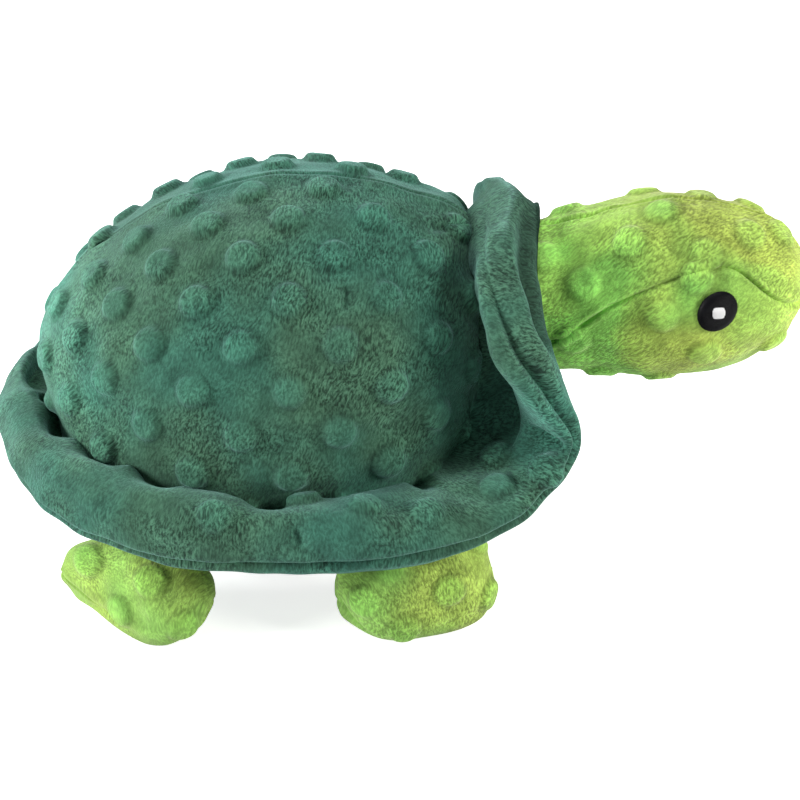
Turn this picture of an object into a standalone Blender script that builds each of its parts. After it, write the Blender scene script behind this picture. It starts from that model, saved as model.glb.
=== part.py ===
"""Plush turtle: a stuffed dome shell with a padded brim that turns up as a hood over the neck,
a stuffed head with embroidered eyes, and four stuffed legs. Metres, +Z up, head towards +X.
The origin is on the ground, under the middle of the whole toy."""

import math

import bmesh
import bpy
from mathutils import Matrix, Vector

# The stuffed body
BODY_CENTRE_X = -0.0350
BODY_HALF_LENGTH = 0.0650
BODY_HALF_WIDTH = 0.0540
BODY_WIDEST_Z = 0.0520
DOME_RISE = 0.0590
DOME_LEAN = 0.0090
DOME_FULLNESS = 2.15
REST_FLAT = 0.0005

# The dimple plush's raised dots, in a diamond lattice on each side panel of the dome, whose cloth lies flat
# round the middle of its side
DOT_RADIUS = 0.0046
DOT_HEIGHT = 0.0016
DOT_SINK = 0.0010
DOT_TOP_SHARE = 0.87
DOT_STEP = 0.0275
DOT_ROW_STEP = 0.0122
DOT_START_ALONG = 0.0075
DOT_START_UP = 0.0225
DOT_LEFT_SHIFT = 0.0093
DOT_ROW_BEND = 48.0
DOT_SEAM_ROOM = 0.0070
DOT_BRIM_ROOM = 0.0140
PANEL_RADIUS = 0.0580

# Plush fabric, its seams and the filling under it
FABRIC = 0.0020
SEAM_GAP = 0.0004
FILL_GAP = 0.0006
SEAT_GAP = 0.0003

# Padded brim round the foot of the dome
BRIM_THICKNESS = 0.0155
BRIM_SINK = 0.0040
BRIM_FULLNESS = 2.4
BRIM_ROOT_SHARE = 0.60
JOIN_Z = 0.0370
HOOD_HEIGHT = 0.0600

# Neck and head
NECK_AHEAD = 0.0030
NECK_HEIGHT = 0.0765
NECK_LENGTH = 0.0370
NECK_RADIUS = 0.0205
NECK_POCKET_GAP = 0.0012
NECK_ROOM_GAP = 0.0022
NECK_SWING_SHARE = 0.50
HEAD_LIFT = 0.0030
HEAD_FRONT_LENGTH = 0.0395
HEAD_HALF_HEIGHT = 0.0255
HEAD_HALF_WIDTH = 0.0240
HEAD_FULLNESS = 2.3
NECK_COVER_TURN = math.radians(5)
NECK_SEAM_START = math.radians(26)
NECK_SEAM_END = math.radians(50)
NOSE_SEAM_RADIUS = 0.0007

# Embroidered eyes
EYE_AHEAD = 0.0132
EYE_TURN = math.radians(6)
EYE_LONG_RADIUS = 0.0058
EYE_SHORT_RADIUS = 0.0050
EYE_TILT = math.radians(50)
EYE_THICKNESS = 0.0022
EYE_SINK = 0.0012
GLINT_RADIUS = 0.0016
GLINT_THICKNESS = 0.0006

# Legs
LEG_RADIUS = 0.0130
LEG_HALF_WIDTH = 0.0224
LEG_REACH = 0.0130
LEG_FULLNESS = 2.6
LEG_END_FULLNESS = 3.2
LEG_TOE_DROP = 0.0035
LEG_TOE_TAPER = 0.30
REAR_LEG_TURN = math.radians(107)
REAR_LEG_SWEEP = math.radians(-34)
REAR_LEG_SHIFT = 0.0200
FRONT_LEG_TURN = math.radians(73)
FRONT_LEG_SWEEP = math.radians(8)
FRONT_LEG_SHIFT = -0.0245

# How finely the forms are faceted, and the least angle of a sharp edge
COLUMNS = 40
SHELL_RINGS = 8
BELLY_RINGS = 6
BELLY_RING_BIAS = 1.2
BRIM_HALF_POINTS = 5
HEAD_TIP_STEPS = 5
HEAD_NECK_STEPS = 3
CROWN_POINTS = 5
CHEEK_POINTS = 6
HEAD_FILL_POINTS = 16
BALL_STEPS = 4
NECK_SEAM_STEPS = 2
LEG_STATIONS = 6
LEG_HALF_POINTS = 6
EYE_SEGMENTS = 14
BALL_SEGMENTS = 20
DOT_SEGMENTS = 8
DOT_ROWS = range(-3, 6)
DOT_STEPS = range(-4, 5)
SEAT_STEPS = 20
SHARP_ANGLE = math.radians(50)

SIDES = ((1, "left"), (-1, "right"))

# Colours as the plush shows them
DARK_GREEN = (0.070, 0.190, 0.130, 1)
LIME = (0.320, 0.580, 0.100, 1)
WADDING = (0.86, 0.86, 0.84, 1)
BLACK_THREAD = (0.012, 0.012, 0.016, 1)
WHITE_THREAD = (0.85, 0.85, 0.85, 1)

# The brim, row by row from the tail along the right side to the top of the hood.
# Each row: the azimuth in degrees where it joins the body, then shares: of HOOD_HEIGHT for the height of
# that join, of BODY_HALF_LENGTH, BODY_HALF_WIDTH and BODY_WIDEST_Z for its free edge, and of BRIM_THICKNESS
# for its thickness and for how far its middle is hollowed down.
BRIM_ROW_SHARES = (
    (180, 0.00, -1.113, 0.000, 0.96, 1.05, 0.00),
    (150, 0.00, -1.000, 0.700, 0.86, 1.15, 0.00),
    (120, 0.00, -0.600, 1.150, 0.75, 1.30, 0.00),
    (92, 0.00, -0.060, 1.280, 0.67, 1.35, 0.00),
    (66, 0.00, 0.480, 1.250, 0.67, 1.30, 0.05),
    (48, 0.05, 0.940, 1.130, 0.75, 1.10, 0.20),
    (38, 0.20, 1.240, 0.880, 1.05, 0.90, 0.40),
    (34, 0.42, 1.150, 0.860, 1.36, 0.80, 0.50),
    (31, 0.66, 1.060, 0.800, 1.64, 0.82, 0.45),
    (20, 0.88, 1.050, 0.480, 1.85, 0.88, 0.30),
    (0, 1.00, 1.080, 0.000, 1.94, 0.92, 0.20),
)

# An eye's section: a share of its height, and of its radius there
EYE_RIM_SHARES = ((0.0, 0.93), (0.5, 1.0), (0.8, 0.96), (1.0, 0.74))

# The cheek seam: its place along the head as a share of the head's front length (negative towards the neck)
# and its height in degrees round the head from the side.
CHEEK_SEAM_SHARES = (
    (-1.00, -25),
    (-0.77, -18),
    (-0.44, 9),
    (-0.17, 19),
    (0.22, 32),
    (0.42, 36),
    (0.52, 31),
    (0.76, 7),
    (1.00, -8),
)


def clear_scene():
    for old in list(bpy.data.objects):
        bpy.data.objects.remove(old)


def material(name, colour, roughness):
    made = bpy.data.materials.new(name)
    made.use_nodes = True
    shader = made.node_tree.nodes["Principled BSDF"]
    shader.inputs["Base Color"].default_value = colour
    shader.inputs["Roughness"].default_value = roughness
    shader.inputs["Metallic"].default_value = 0.0
    return made


def add_object(name, bm, surface=None):
    """Turns a bmesh into an object with its faces outwards and its round sides smooth."""
    bmesh.ops.recalc_face_normals(bm, faces=bm.faces[:])
    mesh = bpy.data.meshes.new(name)
    bm.to_mesh(mesh)
    bm.free()
    mesh.shade_smooth()
    mesh.set_sharp_from_angle(angle=SHARP_ANGLE)
    made = bpy.data.objects.new(name, mesh)
    bpy.context.scene.collection.objects.link(made)
    if surface:
        mesh.materials.append(surface)
    return made


def as_cutter(obj):
    obj.hide_render = True
    obj.display_type = "WIRE"
    return obj


def cut(obj, cutter):
    """Takes the cutter's space away from obj."""
    made = obj.modifiers.new("cut by " + cutter.name, "BOOLEAN")
    made.operation = "DIFFERENCE"
    made.solver = "EXACT"
    made.object = cutter
    return obj


def hang(name, place, pieces):
    """Parents pieces to an empty on their joint's axis, and leaves them where they are."""
    pivot = bpy.data.objects.new(name, None)
    pivot.location = place
    bpy.context.scene.collection.objects.link(pivot)
    for piece in pieces:
        piece.parent = pivot
        piece.matrix_parent_inverse = Matrix.Translation(-Vector(place))


def between(a, b, share):
    return a + (b - a) * share


def ease(share):
    return share * share * (3 - 2 * share)


def power(value, exponent):
    return math.copysign(abs(value) ** exponent, value)


def oval(share, fullness):
    """How far a full oval (2 is an ellipse) still reaches sideways at a share of its length."""
    return max(1 - abs(share) ** fullness, 0.0) ** (1 / fullness)


def add_row(bm, points):
    return [bm.verts.new(p) for p in points]


def bridge(bm, row, next_row, closed=True):
    """Faces between two rows of vertices of the same length, split alike so that layers stay parallel."""
    count = len(row)
    for k in range(count if closed else count - 1):
        j = (k + 1) % count
        bm.faces.new((row[k], row[j], next_row[j]))
        bm.faces.new((row[k], next_row[j], next_row[k]))


def bridge_all(bm, rows, closed=True):
    for row, next_row in zip(rows, rows[1:]):
        bridge(bm, row, next_row, closed)


def fan(bm, centre, row):
    for k, vertex in enumerate(row):
        bm.faces.new((centre, vertex, row[(k + 1) % len(row)]))


def capped_tube(name, rings, surface=None):
    """A closed solid through rings of points, with flat ends."""
    bm = bmesh.new()
    rows = [add_row(bm, ring) for ring in rings]
    bridge_all(bm, rows)
    bm.faces.new(rows[0])
    bm.faces.new(rows[-1])
    return add_object(name, bm, surface)


def thick_panel(name, outer_rows, inner_rows, surface):
    """A closed panel of fabric between two sheets of the same rows and columns."""
    bm = bmesh.new()
    outer = [add_row(bm, row) for row in outer_rows]
    inner = [add_row(bm, row) for row in inner_rows]
    bridge_all(bm, outer, closed=False)
    bridge_all(bm, inner, closed=False)
    bridge(bm, edge_of(outer), edge_of(inner))
    return add_object(name, bm, surface)


def edge_of(rows):
    """The vertices round the edge of a sheet, in order."""
    left = [row[0] for row in rows]
    right = [row[-1] for row in rows]
    return rows[0] + right[1:] + rows[-1][-2::-1] + left[-2:0:-1]


# The brim's course round the body, which also says where the shell ends and the underbody begins


def brim_row(index):
    """A row of the brim, counted from the tail along the right side and back along the left."""
    last = len(BRIM_ROW_SHARES) - 1
    laps, place = divmod(index, 2 * last)
    side = -1 if place <= last else 1
    azimuth, rise, x, y, z, thick, cup = BRIM_ROW_SHARES[min(place, 2 * last - place)]
    return side * azimuth + 360 * laps, rise, x, side * y, z, thick, cup


def brim_course(share):
    """The brim's row at a share of the way round, on a smooth curve through its rows."""
    place = share * 2 * (len(BRIM_ROW_SHARES) - 1)
    index = math.floor(place)
    t = place - index
    found = []
    for p0, p1, p2, p3 in zip(*(brim_row(index + step) for step in (-1, 0, 1, 2))):
        bend = 2 * p0 - 5 * p1 + 4 * p2 - p3
        twist = 3 * p1 - p0 - 3 * p2 + p3
        found.append(p1 + (t * (p2 - p0) + t**2 * bend + t**3 * twist) / 2)
    return found


# The stuffed body: an egg, domed above with its crown leaning forward, bowl-shaped below and pressed
# flat where it rests

BELLY_DROP = BODY_WIDEST_Z + REST_FLAT
BELLY_END = math.acos(-BODY_WIDEST_Z / BELLY_DROP)


def body_ring(polar, inset):
    """(share of the half length and width, height, lean) of the body at a polar angle from its top."""
    if polar < math.pi / 2:
        rise = math.cos(polar) ** (2 / DOME_FULLNESS)
        girth = math.sin(polar) ** (2 / DOME_FULLNESS)
        return girth, BODY_WIDEST_Z + (DOME_RISE - inset) * rise, DOME_LEAN * rise
    height = BODY_WIDEST_Z + (BELLY_DROP - inset) * math.cos(polar)
    return math.sin(polar), max(height, inset), 0.0


def body_point(azimuth, polar, inset):
    girth, height, lean = body_ring(polar, inset)
    x = BODY_CENTRE_X + lean + (BODY_HALF_LENGTH - inset) * girth * math.cos(azimuth)
    y = (BODY_HALF_WIDTH - inset) * girth * math.sin(azimuth)
    return Vector((x, y, height))


def polar_at(height):
    """The polar angle at which the body's outside is at this height."""
    if height >= BODY_WIDEST_Z:
        return math.acos(((height - BODY_WIDEST_Z) / DOME_RISE) ** (DOME_FULLNESS / 2))
    return math.acos((height - BODY_WIDEST_Z) / BELLY_DROP)


def body_columns(step):
    """(azimuth, polar angle of the join) of each column of the body, one for each section of the brim."""
    columns = []
    for k in range(0, COLUMNS, step):
        azimuth, rise = brim_course(k / COLUMNS)[:2]
        columns.append((math.radians(azimuth), polar_at(JOIN_Z + HOOD_HEIGHT * rise)))
    return columns


def dome_rows(bm, inset, step=1):
    """One side of the shell's fabric, from the crown down to where it ends."""
    columns = body_columns(step)
    rows = []
    for k in range(step, SHELL_RINGS + 1, step):
        share = k / SHELL_RINGS
        rows.append(add_row(bm, [body_point(azimuth, end * share, inset) for azimuth, end in columns]))
    fan(bm, bm.verts.new(body_point(0.0, 0.0, inset)), rows[0])
    bridge_all(bm, rows)
    return rows


def belly_rows(bm, inset, step=1):
    """One side of the underbody, from the shell's edge down to the flat that it rests on."""
    columns = body_columns(step)
    gap = SEAM_GAP / BODY_WIDEST_Z
    rows = []
    for k in range(0, BELLY_RINGS + 1, step):
        share = (k / BELLY_RINGS) ** BELLY_RING_BIAS
        ring = [body_point(azimuth, between(start + gap, BELLY_END, share), inset)
                for azimuth, start in columns]
        rows.append(add_row(bm, ring))
    bridge_all(bm, rows)
    bm.faces.new(rows[-1])
    return rows


def whole_body(name, inset, step=1, surface=None):
    bm = bmesh.new()
    upper = dome_rows(bm, inset, step)
    lower = belly_rows(bm, inset, step)
    bridge(bm, upper[-1], lower[0])
    return add_object(name, bm, surface)


def half_cutter(side):
    """A block over one side of the middle seam, which reaches half the seam's gap past it."""
    reach = BODY_HALF_LENGTH + BODY_HALF_WIDTH + BODY_WIDEST_Z
    bm = bmesh.new()
    bmesh.ops.create_cube(bm, size=2 * reach)
    bmesh.ops.translate(bm, verts=bm.verts[:], vec=(0, side * (reach - SEAM_GAP / 2), 0))
    return as_cutter(add_object("left_half_cutter" if side > 0 else "right_half_cutter", bm))


def make_shell(surface):
    """The dome's cover, cut along its middle into the two panels that the middle seam joins."""
    panels = []
    for side, side_name in SIDES:
        bm = bmesh.new()
        outer = dome_rows(bm, 0.0)
        inner = dome_rows(bm, FABRIC)
        bridge(bm, outer[-1], inner[-1])
        panel = add_object("shell_panel_" + side_name, bm, surface)
        panels.append(dots_on(cut(panel, half_cutter(-side)), side, side_name))
    return panels


def dome_share(point):
    """How far out a point over the dome's widest level lies: 1 is on the dome's outside."""
    rise = max(point.z - BODY_WIDEST_Z, 0.0) / DOME_RISE
    ahead = point.x - BODY_CENTRE_X - DOME_LEAN * rise
    plan = math.hypot(ahead / BODY_HALF_LENGTH, point.y / BODY_HALF_WIDTH)
    return (plan**DOME_FULLNESS + rise**DOME_FULLNESS) ** (1 / DOME_FULLNESS)


def dome_place(side, along, up):
    """(point, outward) of a side panel at flat cloth coordinates from the middle of its side."""
    far = math.hypot(along, up) / PANEL_RADIUS
    turn = math.atan2(up, along)
    way = Vector((math.sin(far) * math.cos(turn), side * math.cos(far), math.sin(far) * math.sin(turn)))
    middle = Vector((BODY_CENTRE_X, 0, BODY_WIDEST_Z))
    near, out = 0.0, BODY_HALF_LENGTH + BODY_HALF_WIDTH
    while out - near > SEAM_GAP / 1000:
        half = (near + out) / 2
        if dome_share(middle + way * half) < 1:
            near = half
        else:
            out = half
    point = middle + way * near
    slopes = []
    for axis in range(3):
        step = Vector([FABRIC / 10 if k == axis else 0 for k in range(3)])
        slopes.append(dome_share(point + step) - dome_share(point - step))
    return point, Vector(slopes).normalized()


def dot_places(side):
    """Where a side panel's raised dots lie, clear of the middle seam and of the brim."""
    found = []
    shift = DOT_LEFT_SHIFT if side > 0 else 0.0
    course = [brim_course(k / COLUMNS) for k in range(COLUMNS)]
    for row in DOT_ROWS:
        for step in DOT_STEPS:
            along = DOT_START_ALONG + shift + DOT_STEP * (step + row % 2 / 2)
            up = (DOT_START_UP + DOT_ROW_STEP * row) * (1 - DOT_ROW_BEND * along**2)
            if math.hypot(along, up) > PANEL_RADIUS * math.pi / 2 or up < 0:
                continue
            point, outward = dome_place(side, along, up)
            ahead = (point.x - BODY_CENTRE_X) / BODY_HALF_LENGTH
            azimuth = math.degrees(math.atan2(point.y / BODY_HALF_WIDTH, ahead))
            join = min(course, key=lambda row: abs(row[0] - azimuth))
            room = point.z - JOIN_Z - HOOD_HEIGHT * join[1]
            if abs(point.y) > DOT_SEAM_ROOM and room > DOT_BRIM_ROOM:
                found.append((point, outward))
    return found


def dots_on(panel, side, side_name):
    """Raises the dots of one side panel, each a low round swelling of the fabric."""
    bm = bmesh.new()
    for point, outward in dot_places(side):
        across = outward.cross(Vector((0, 0, 1))).normalized()
        up = across.cross(outward)
        rings = []
        for radius, height in ((DOT_RADIUS, -DOT_SINK), (DOT_RADIUS, 0.0),
                               (DOT_RADIUS * DOT_TOP_SHARE, DOT_HEIGHT)):
            ring = []
            for k in range(DOT_SEGMENTS):
                turn = math.tau * k / DOT_SEGMENTS
                spoke = across * math.cos(turn) + up * math.sin(turn)
                ring.append(point + outward * height + spoke * radius)
            rings.append(add_row(bm, ring))
        bridge_all(bm, rings)
        bm.faces.new(rings[0])
        bm.faces.new(rings[-1])
    dots = as_cutter(add_object(f"dots_{side_name}", bm))
    joined = panel.modifiers.new("raised dots", "BOOLEAN")
    joined.operation = "UNION"
    joined.solver = "EXACT"
    joined.object = dots
    return panel


def make_underbody(surface):
    bm = bmesh.new()
    outer = belly_rows(bm, 0.0)
    inner = belly_rows(bm, FABRIC)
    bridge(bm, outer[0], inner[0])
    return add_object("underbody_panel", bm, surface)


# The padded brim, lofted round the body's join


def brim_ends(share):
    """(join with the body, free edge, half thickness, hollow) of the brim at a share of the way round."""
    azimuth, rise, x, y, z, thick, cup = brim_course(share)
    join = body_point(math.radians(azimuth), polar_at(JOIN_Z + HOOD_HEIGHT * rise), BRIM_SINK)
    edge = Vector((BODY_CENTRE_X + BODY_HALF_LENGTH * x, BODY_HALF_WIDTH * y, BODY_WIDEST_Z * z))
    return join, edge, BRIM_THICKNESS * thick / 2, BRIM_THICKNESS * cup


def brim_section(k, inset, side, lift):
    """The points over one face of a section of the brim, from its free edge to the body."""
    join, edge, half_thick, hollow = brim_ends(k / COLUMNS)
    ahead = brim_ends((k + 1) / COLUMNS)
    behind = brim_ends((k - 1) / COLUMNS)
    out = (edge - join) / 2
    room = 1 - inset / out.length
    up = out.cross(ahead[0] + ahead[1] - behind[0] - behind[1]).normalized()
    points = []
    for j in range(BRIM_HALF_POINTS + 1):
        turn = math.pi * j / BRIM_HALF_POINTS
        reach = power(math.cos(turn), 2 / BRIM_FULLNESS)
        swell = math.sin(turn) ** (2 / BRIM_FULLNESS) if 0 < j < BRIM_HALF_POINTS else 0.0
        rise = (half_thick * between(1.0, BRIM_ROOT_SHARE, (1 - reach) / 2) - inset) * swell + lift
        reach *= room
        points.append((join + edge) / 2 + out * reach + up * (rise * side - hollow * (1 - reach**2)))
    return points


def lofted_ring(name, rings, surface):
    """A closed solid through rings of points that follow each other round and meet again."""
    bm = bmesh.new()
    rows = [add_row(bm, ring) for ring in rings]
    bridge_all(bm, rows + rows[:1])
    return add_object(name, bm, surface)


def make_brim(surface, filling):
    """The brim's two panels of fabric, sewn together at its free edge, and the wadding between them."""
    made = []
    for side, name in ((1, "brim_upper_panel"), (-1, "brim_lower_panel")):
        rings = []
        for k in range(COLUMNS):
            inner = brim_section(k, FABRIC, side, SEAM_GAP / 2)
            rings.append(brim_section(k, 0.0, side, SEAM_GAP / 2) + inner[::-1])
        made.append(lofted_ring(name, rings, surface))
    inset = FABRIC + FILL_GAP
    rings = []
    for k in range(COLUMNS):
        rings.append(brim_section(k, inset, 1, 0.0) + brim_section(k, inset, -1, 0.0)[-2:0:-1])
    return made + [lofted_ring("brim_wadding", rings, filling)]


# The head and neck: a rounded head that narrows to a neck, and a ball behind it that turns in the body

NECK_X = BODY_CENTRE_X + BODY_HALF_LENGTH + NECK_AHEAD
HEAD_X = NECK_X + NECK_LENGTH
HEAD_Z = NECK_HEIGHT + HEAD_LIFT
NECK_PIVOT = (NECK_X, 0, NECK_HEIGHT)


def head_stations(inset):
    """(x, height of the middle, half height, half width) from the nose back to the neck's pivot."""
    stations = []
    for k in range(HEAD_TIP_STEPS + 1):
        forward = math.cos(math.pi / 2 * k / HEAD_TIP_STEPS) ** (2 / HEAD_FULLNESS)
        if k == HEAD_TIP_STEPS:
            forward = 0.0
        girth = oval(forward, HEAD_FULLNESS)
        high = max((HEAD_HALF_HEIGHT - inset) * girth, NOSE_SEAM_RADIUS)
        wide = max((HEAD_HALF_WIDTH - inset) * girth, NOSE_SEAM_RADIUS)
        stations.append((HEAD_X + (HEAD_FRONT_LENGTH - inset) * forward, HEAD_Z, high, wide))
    for k in range(1, HEAD_NECK_STEPS + 1):
        share = ease(k / HEAD_NECK_STEPS)
        x = between(HEAD_X, NECK_X, k / HEAD_NECK_STEPS)
        z = between(HEAD_Z, NECK_HEIGHT, share)
        high = between(HEAD_HALF_HEIGHT, NECK_RADIUS, share) - inset
        wide = between(HEAD_HALF_WIDTH, NECK_RADIUS, share) - inset
        stations.append((x, z, high, wide))
    return stations


def ball_station(inset, turn):
    """The station of the neck's ball at an angle behind its pivot."""
    radius = (NECK_RADIUS - inset) * math.cos(turn)
    return NECK_X - (NECK_RADIUS - inset) * math.sin(turn), NECK_HEIGHT, radius, radius


def head_point(station, turn, side):
    """A point on the head, where turn is zero at its side and 90 degrees at its top."""
    x, z, high, wide = station
    return Vector((x, side * wide * math.cos(turn), z + high * math.sin(turn)))


def head_ring(station, count):
    return [head_point(station, math.tau * k / count, 1) for k in range(count)]


def cheek_turn(x):
    """How high round the head the cheek seam lies at a place along it."""
    share = (x - HEAD_X) / HEAD_FRONT_LENGTH
    place, turn = CHEEK_SEAM_SHARES[0]
    for next_place, next_turn in CHEEK_SEAM_SHARES[1:]:
        if place < share <= next_place:
            return math.radians(between(turn, next_turn, (share - place) / (next_place - place)))
        place, turn = next_place, next_turn
    return math.radians(turn if share > 0 else CHEEK_SEAM_SHARES[0][1])


def head_sheet(inset, side, crown):
    """Rows of points over one head panel, moved clear of the seams beside it."""
    shift = Vector((0, side * SEAM_GAP / 2, SEAM_GAP / 2 if crown else -SEAM_GAP / 2))
    outside = head_stations(0.0) + [ball_station(0.0, NECK_COVER_TURN)]
    stations = head_stations(inset) + [ball_station(inset, NECK_COVER_TURN)]
    count = CROWN_POINTS if crown else CHEEK_POINTS
    rows = []
    for station, cover in zip(stations, outside):
        seam = cheek_turn(cover[0])
        first, last = (seam, math.pi / 2) if crown else (-math.pi / 2, seam)
        turns = [between(first, last, k / count) for k in range(count + 1)]
        rows.append([head_point(station, turn, side) + shift for turn in turns])
    return rows


def make_head_cover(surface):
    """Two crown panels and two cheek panels, each cheek with a seat for its eye."""
    made = []
    for side, side_name in SIDES:
        seat = eye_seat_cutter(side, side_name)
        for crown, part in ((True, "crown"), (False, "cheek")):
            name = f"head_{part}_{side_name}"
            panel = thick_panel(name, head_sheet(0.0, side, crown), head_sheet(FABRIC, side, crown), surface)
            made.append(panel if crown else cut(panel, seat))
    return made


def make_head_stuffing(surface):
    """The filling of the head and neck, with the ball that turns in the body's pocket."""
    inset = FABRIC + FILL_GAP
    stations = head_stations(inset)[1:]
    for k in range(1, BALL_STEPS):
        stations.append(ball_station(inset, math.pi / 2 * k / BALL_STEPS))
    bm = bmesh.new()
    rows = [add_row(bm, head_ring(station, HEAD_FILL_POINTS)) for station in stations]
    fan(bm, bm.verts.new((HEAD_X + HEAD_FRONT_LENGTH - inset, 0, HEAD_Z)), rows[0])
    bridge_all(bm, rows)
    fan(bm, bm.verts.new((NECK_X - NECK_RADIUS + inset, 0, NECK_HEIGHT)), rows[-1])
    return add_object("head_stuffing", bm, surface)


def make_neck_seam_allowance(surface):
    """The turned-in edge of fabric behind the neck's cover, a band of the same ball."""
    rings = []
    shares = [k / NECK_SEAM_STEPS for k in range(NECK_SEAM_STEPS + 1)]
    turns = [between(NECK_SEAM_START, NECK_SEAM_END, share) for share in shares]
    for inset, ordered in ((0.0, turns), (FABRIC, turns[::-1])):
        for turn in ordered:
            rings.append(head_ring(ball_station(inset, turn), BALL_SEGMENTS))
    return lofted_ring("neck_seam_allowance", rings, surface)


def neck_pocket_cutter():
    """The ball-shaped space in the body that the neck turns in."""
    bm = bmesh.new()
    radius = NECK_RADIUS + NECK_POCKET_GAP
    bmesh.ops.create_uvsphere(bm, u_segments=BALL_SEGMENTS, v_segments=BALL_SEGMENTS // 2, radius=radius)
    bmesh.ops.translate(bm, verts=bm.verts[:], vec=NECK_PIVOT)
    return as_cutter(add_object("neck_pocket_cutter", bm))


def neck_room_cutter():
    """The space that the neck needs under the hood: a ball round it, which opens forward like a funnel."""
    stations = []
    for k in range(BALL_STEPS - 1, -1, -1):
        stations.append(ball_station(-NECK_ROOM_GAP, math.pi / 2 * k / BALL_STEPS))
    wide = NECK_RADIUS + NECK_ROOM_GAP + NECK_RADIUS * NECK_SWING_SHARE * 2
    stations.append((NECK_X + NECK_RADIUS * 2, NECK_HEIGHT, wide, wide))
    rings = [head_ring(station, BALL_SEGMENTS) for station in stations]
    return as_cutter(capped_tube("neck_room_cutter", rings))


# Embroidered eyes: each a raised oval of black thread with a white glint on it


def eye_axes(side):
    """(middle, outward, forward, up) of an eye on one side of the head."""
    share = EYE_AHEAD / HEAD_FRONT_LENGTH
    girth = oval(share, HEAD_FULLNESS)
    station = (HEAD_X + EYE_AHEAD, HEAD_Z, HEAD_HALF_HEIGHT * girth, HEAD_HALF_WIDTH * girth)
    flank = girth ** (HEAD_FULLNESS - 1)
    outward = Vector((
        share ** (HEAD_FULLNESS - 1) / HEAD_FRONT_LENGTH,
        side * flank * math.cos(EYE_TURN) / HEAD_HALF_WIDTH,
        flank * math.sin(EYE_TURN) / HEAD_HALF_HEIGHT,
    )).normalized()
    forward = Vector((outward.y * side, -outward.x * side, 0)).normalized()
    return head_point(station, EYE_TURN, side), outward, forward, forward.cross(outward) * side


def eye_pad(name, side, long_radius, short_radius, low, high, surface=None):
    """A flat oval pad of stitches between two heights off the head, drawn in at its rims."""
    middle, outward, forward, up = eye_axes(side)
    long_way = (forward * math.cos(EYE_TILT) + up * math.sin(EYE_TILT)) * long_radius
    short_way = (up * math.cos(EYE_TILT) - forward * math.sin(EYE_TILT)) * short_radius
    rings = []
    for level, rim in EYE_RIM_SHARES:
        centre = middle + outward * between(low, high, level)
        turns = [math.tau * k / EYE_SEGMENTS for k in range(EYE_SEGMENTS)]
        rings.append([centre + (long_way * math.cos(t) + short_way * math.sin(t)) * rim for t in turns])
    return capped_tube(name, rings, surface)


def eye_seat_cutter(side, side_name):
    name = f"eye_{side_name}_seat_cutter"
    long_radius, short_radius = EYE_LONG_RADIUS + SEAT_GAP, EYE_SHORT_RADIUS + SEAT_GAP
    return as_cutter(eye_pad(name, side, long_radius, short_radius, -EYE_SINK - SEAT_GAP, EYE_THICKNESS * 2))


def make_eyes(black, white):
    made = []
    top = EYE_THICKNESS - EYE_SINK
    for side, side_name in SIDES:
        name = "eye_" + side_name
        made.append(eye_pad(name, side, EYE_LONG_RADIUS, EYE_SHORT_RADIUS, -EYE_SINK, top, black))
        low = top + SEAT_GAP
        name = "eye_highlight_" + side_name
        made.append(eye_pad(name, side, GLINT_RADIUS, GLINT_RADIUS, low, low + GLINT_THICKNESS, white))
    return made


# Legs: plump flat paws, each with a round root along its hinge, where it is sewn under the brim

LEG_CENTRE_Z = LEG_RADIUS - REST_FLAT


def body_reach(turn, across, girth):
    """How far out the body's plan, shrunk by girth, reaches in a direction at a distance across it."""
    along = Vector((math.cos(turn) / BODY_HALF_LENGTH, math.sin(turn) / BODY_HALF_WIDTH)) / girth
    aside = Vector((-math.sin(turn) / BODY_HALF_LENGTH, math.cos(turn) / BODY_HALF_WIDTH)) / girth * across
    half = along.dot(aside)
    inside = half**2 - along.dot(along) * (aside.dot(aside) - 1)
    return (math.sqrt(inside) - half) / along.dot(along) if inside > 0 else 0.0


def leg_seat(turn, shift):
    """How far out from the body's middle a leg's hinge lies, so that its root just meets the underbody."""
    seat = 0.0
    for i in range(-SEAT_STEPS, SEAT_STEPS + 1):
        share = i / SEAT_STEPS
        radius = LEG_RADIUS * oval(share, LEG_END_FULLNESS)
        for k in range(SEAT_STEPS):
            girth, height, lean = body_ring(between(math.pi / 2, BELLY_END, k / SEAT_STEPS), 0.0)
            drop = abs(height - LEG_CENTRE_Z)
            if drop < radius:
                reach = body_reach(turn, shift + LEG_HALF_WIDTH * share, girth)
                seat = max(seat, reach + math.sqrt(radius**2 - drop**2))
    return seat + SEAT_GAP


def leg_rows(inset, upper, lift, sweep):
    """Rows of points over one face of a leg in its own frame: x out to the toe, y along its hinge, z up."""
    side = 1 if upper else -1
    rows = []
    for k in range(LEG_STATIONS + 1):
        share = math.sin(math.pi * (k / LEG_STATIONS - 1 / 2))
        girth = oval(share, LEG_END_FULLNESS) if 0 < k < LEG_STATIONS else 0.0
        row = []
        for j in range(LEG_HALF_POINTS + 1):
            turn = math.pi * j / LEG_HALF_POINTS
            out = math.cos(turn) * (LEG_RADIUS - inset) * girth
            rise = math.sin(turn) * (LEG_RADIUS - inset) * girth
            if 2 * j < LEG_HALF_POINTS:
                out = math.cos(turn) ** (2 / LEG_FULLNESS) * (LEG_REACH - inset) * girth
                rise = math.sin(turn) ** (2 / LEG_FULLNESS) * (LEG_RADIUS - inset) * girth
            ahead = max(out, 0.0)
            taper = 1 - LEG_TOE_TAPER * ahead / LEG_REACH
            y = (LEG_HALF_WIDTH - inset) * share * taper + ahead * math.tan(sweep)
            z = side * (rise + lift) - LEG_TOE_DROP * ahead / LEG_REACH
            row.append(Vector((out, y, max(z, inset - LEG_CENTRE_Z))))
        rows.append(row)
    return rows


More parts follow.
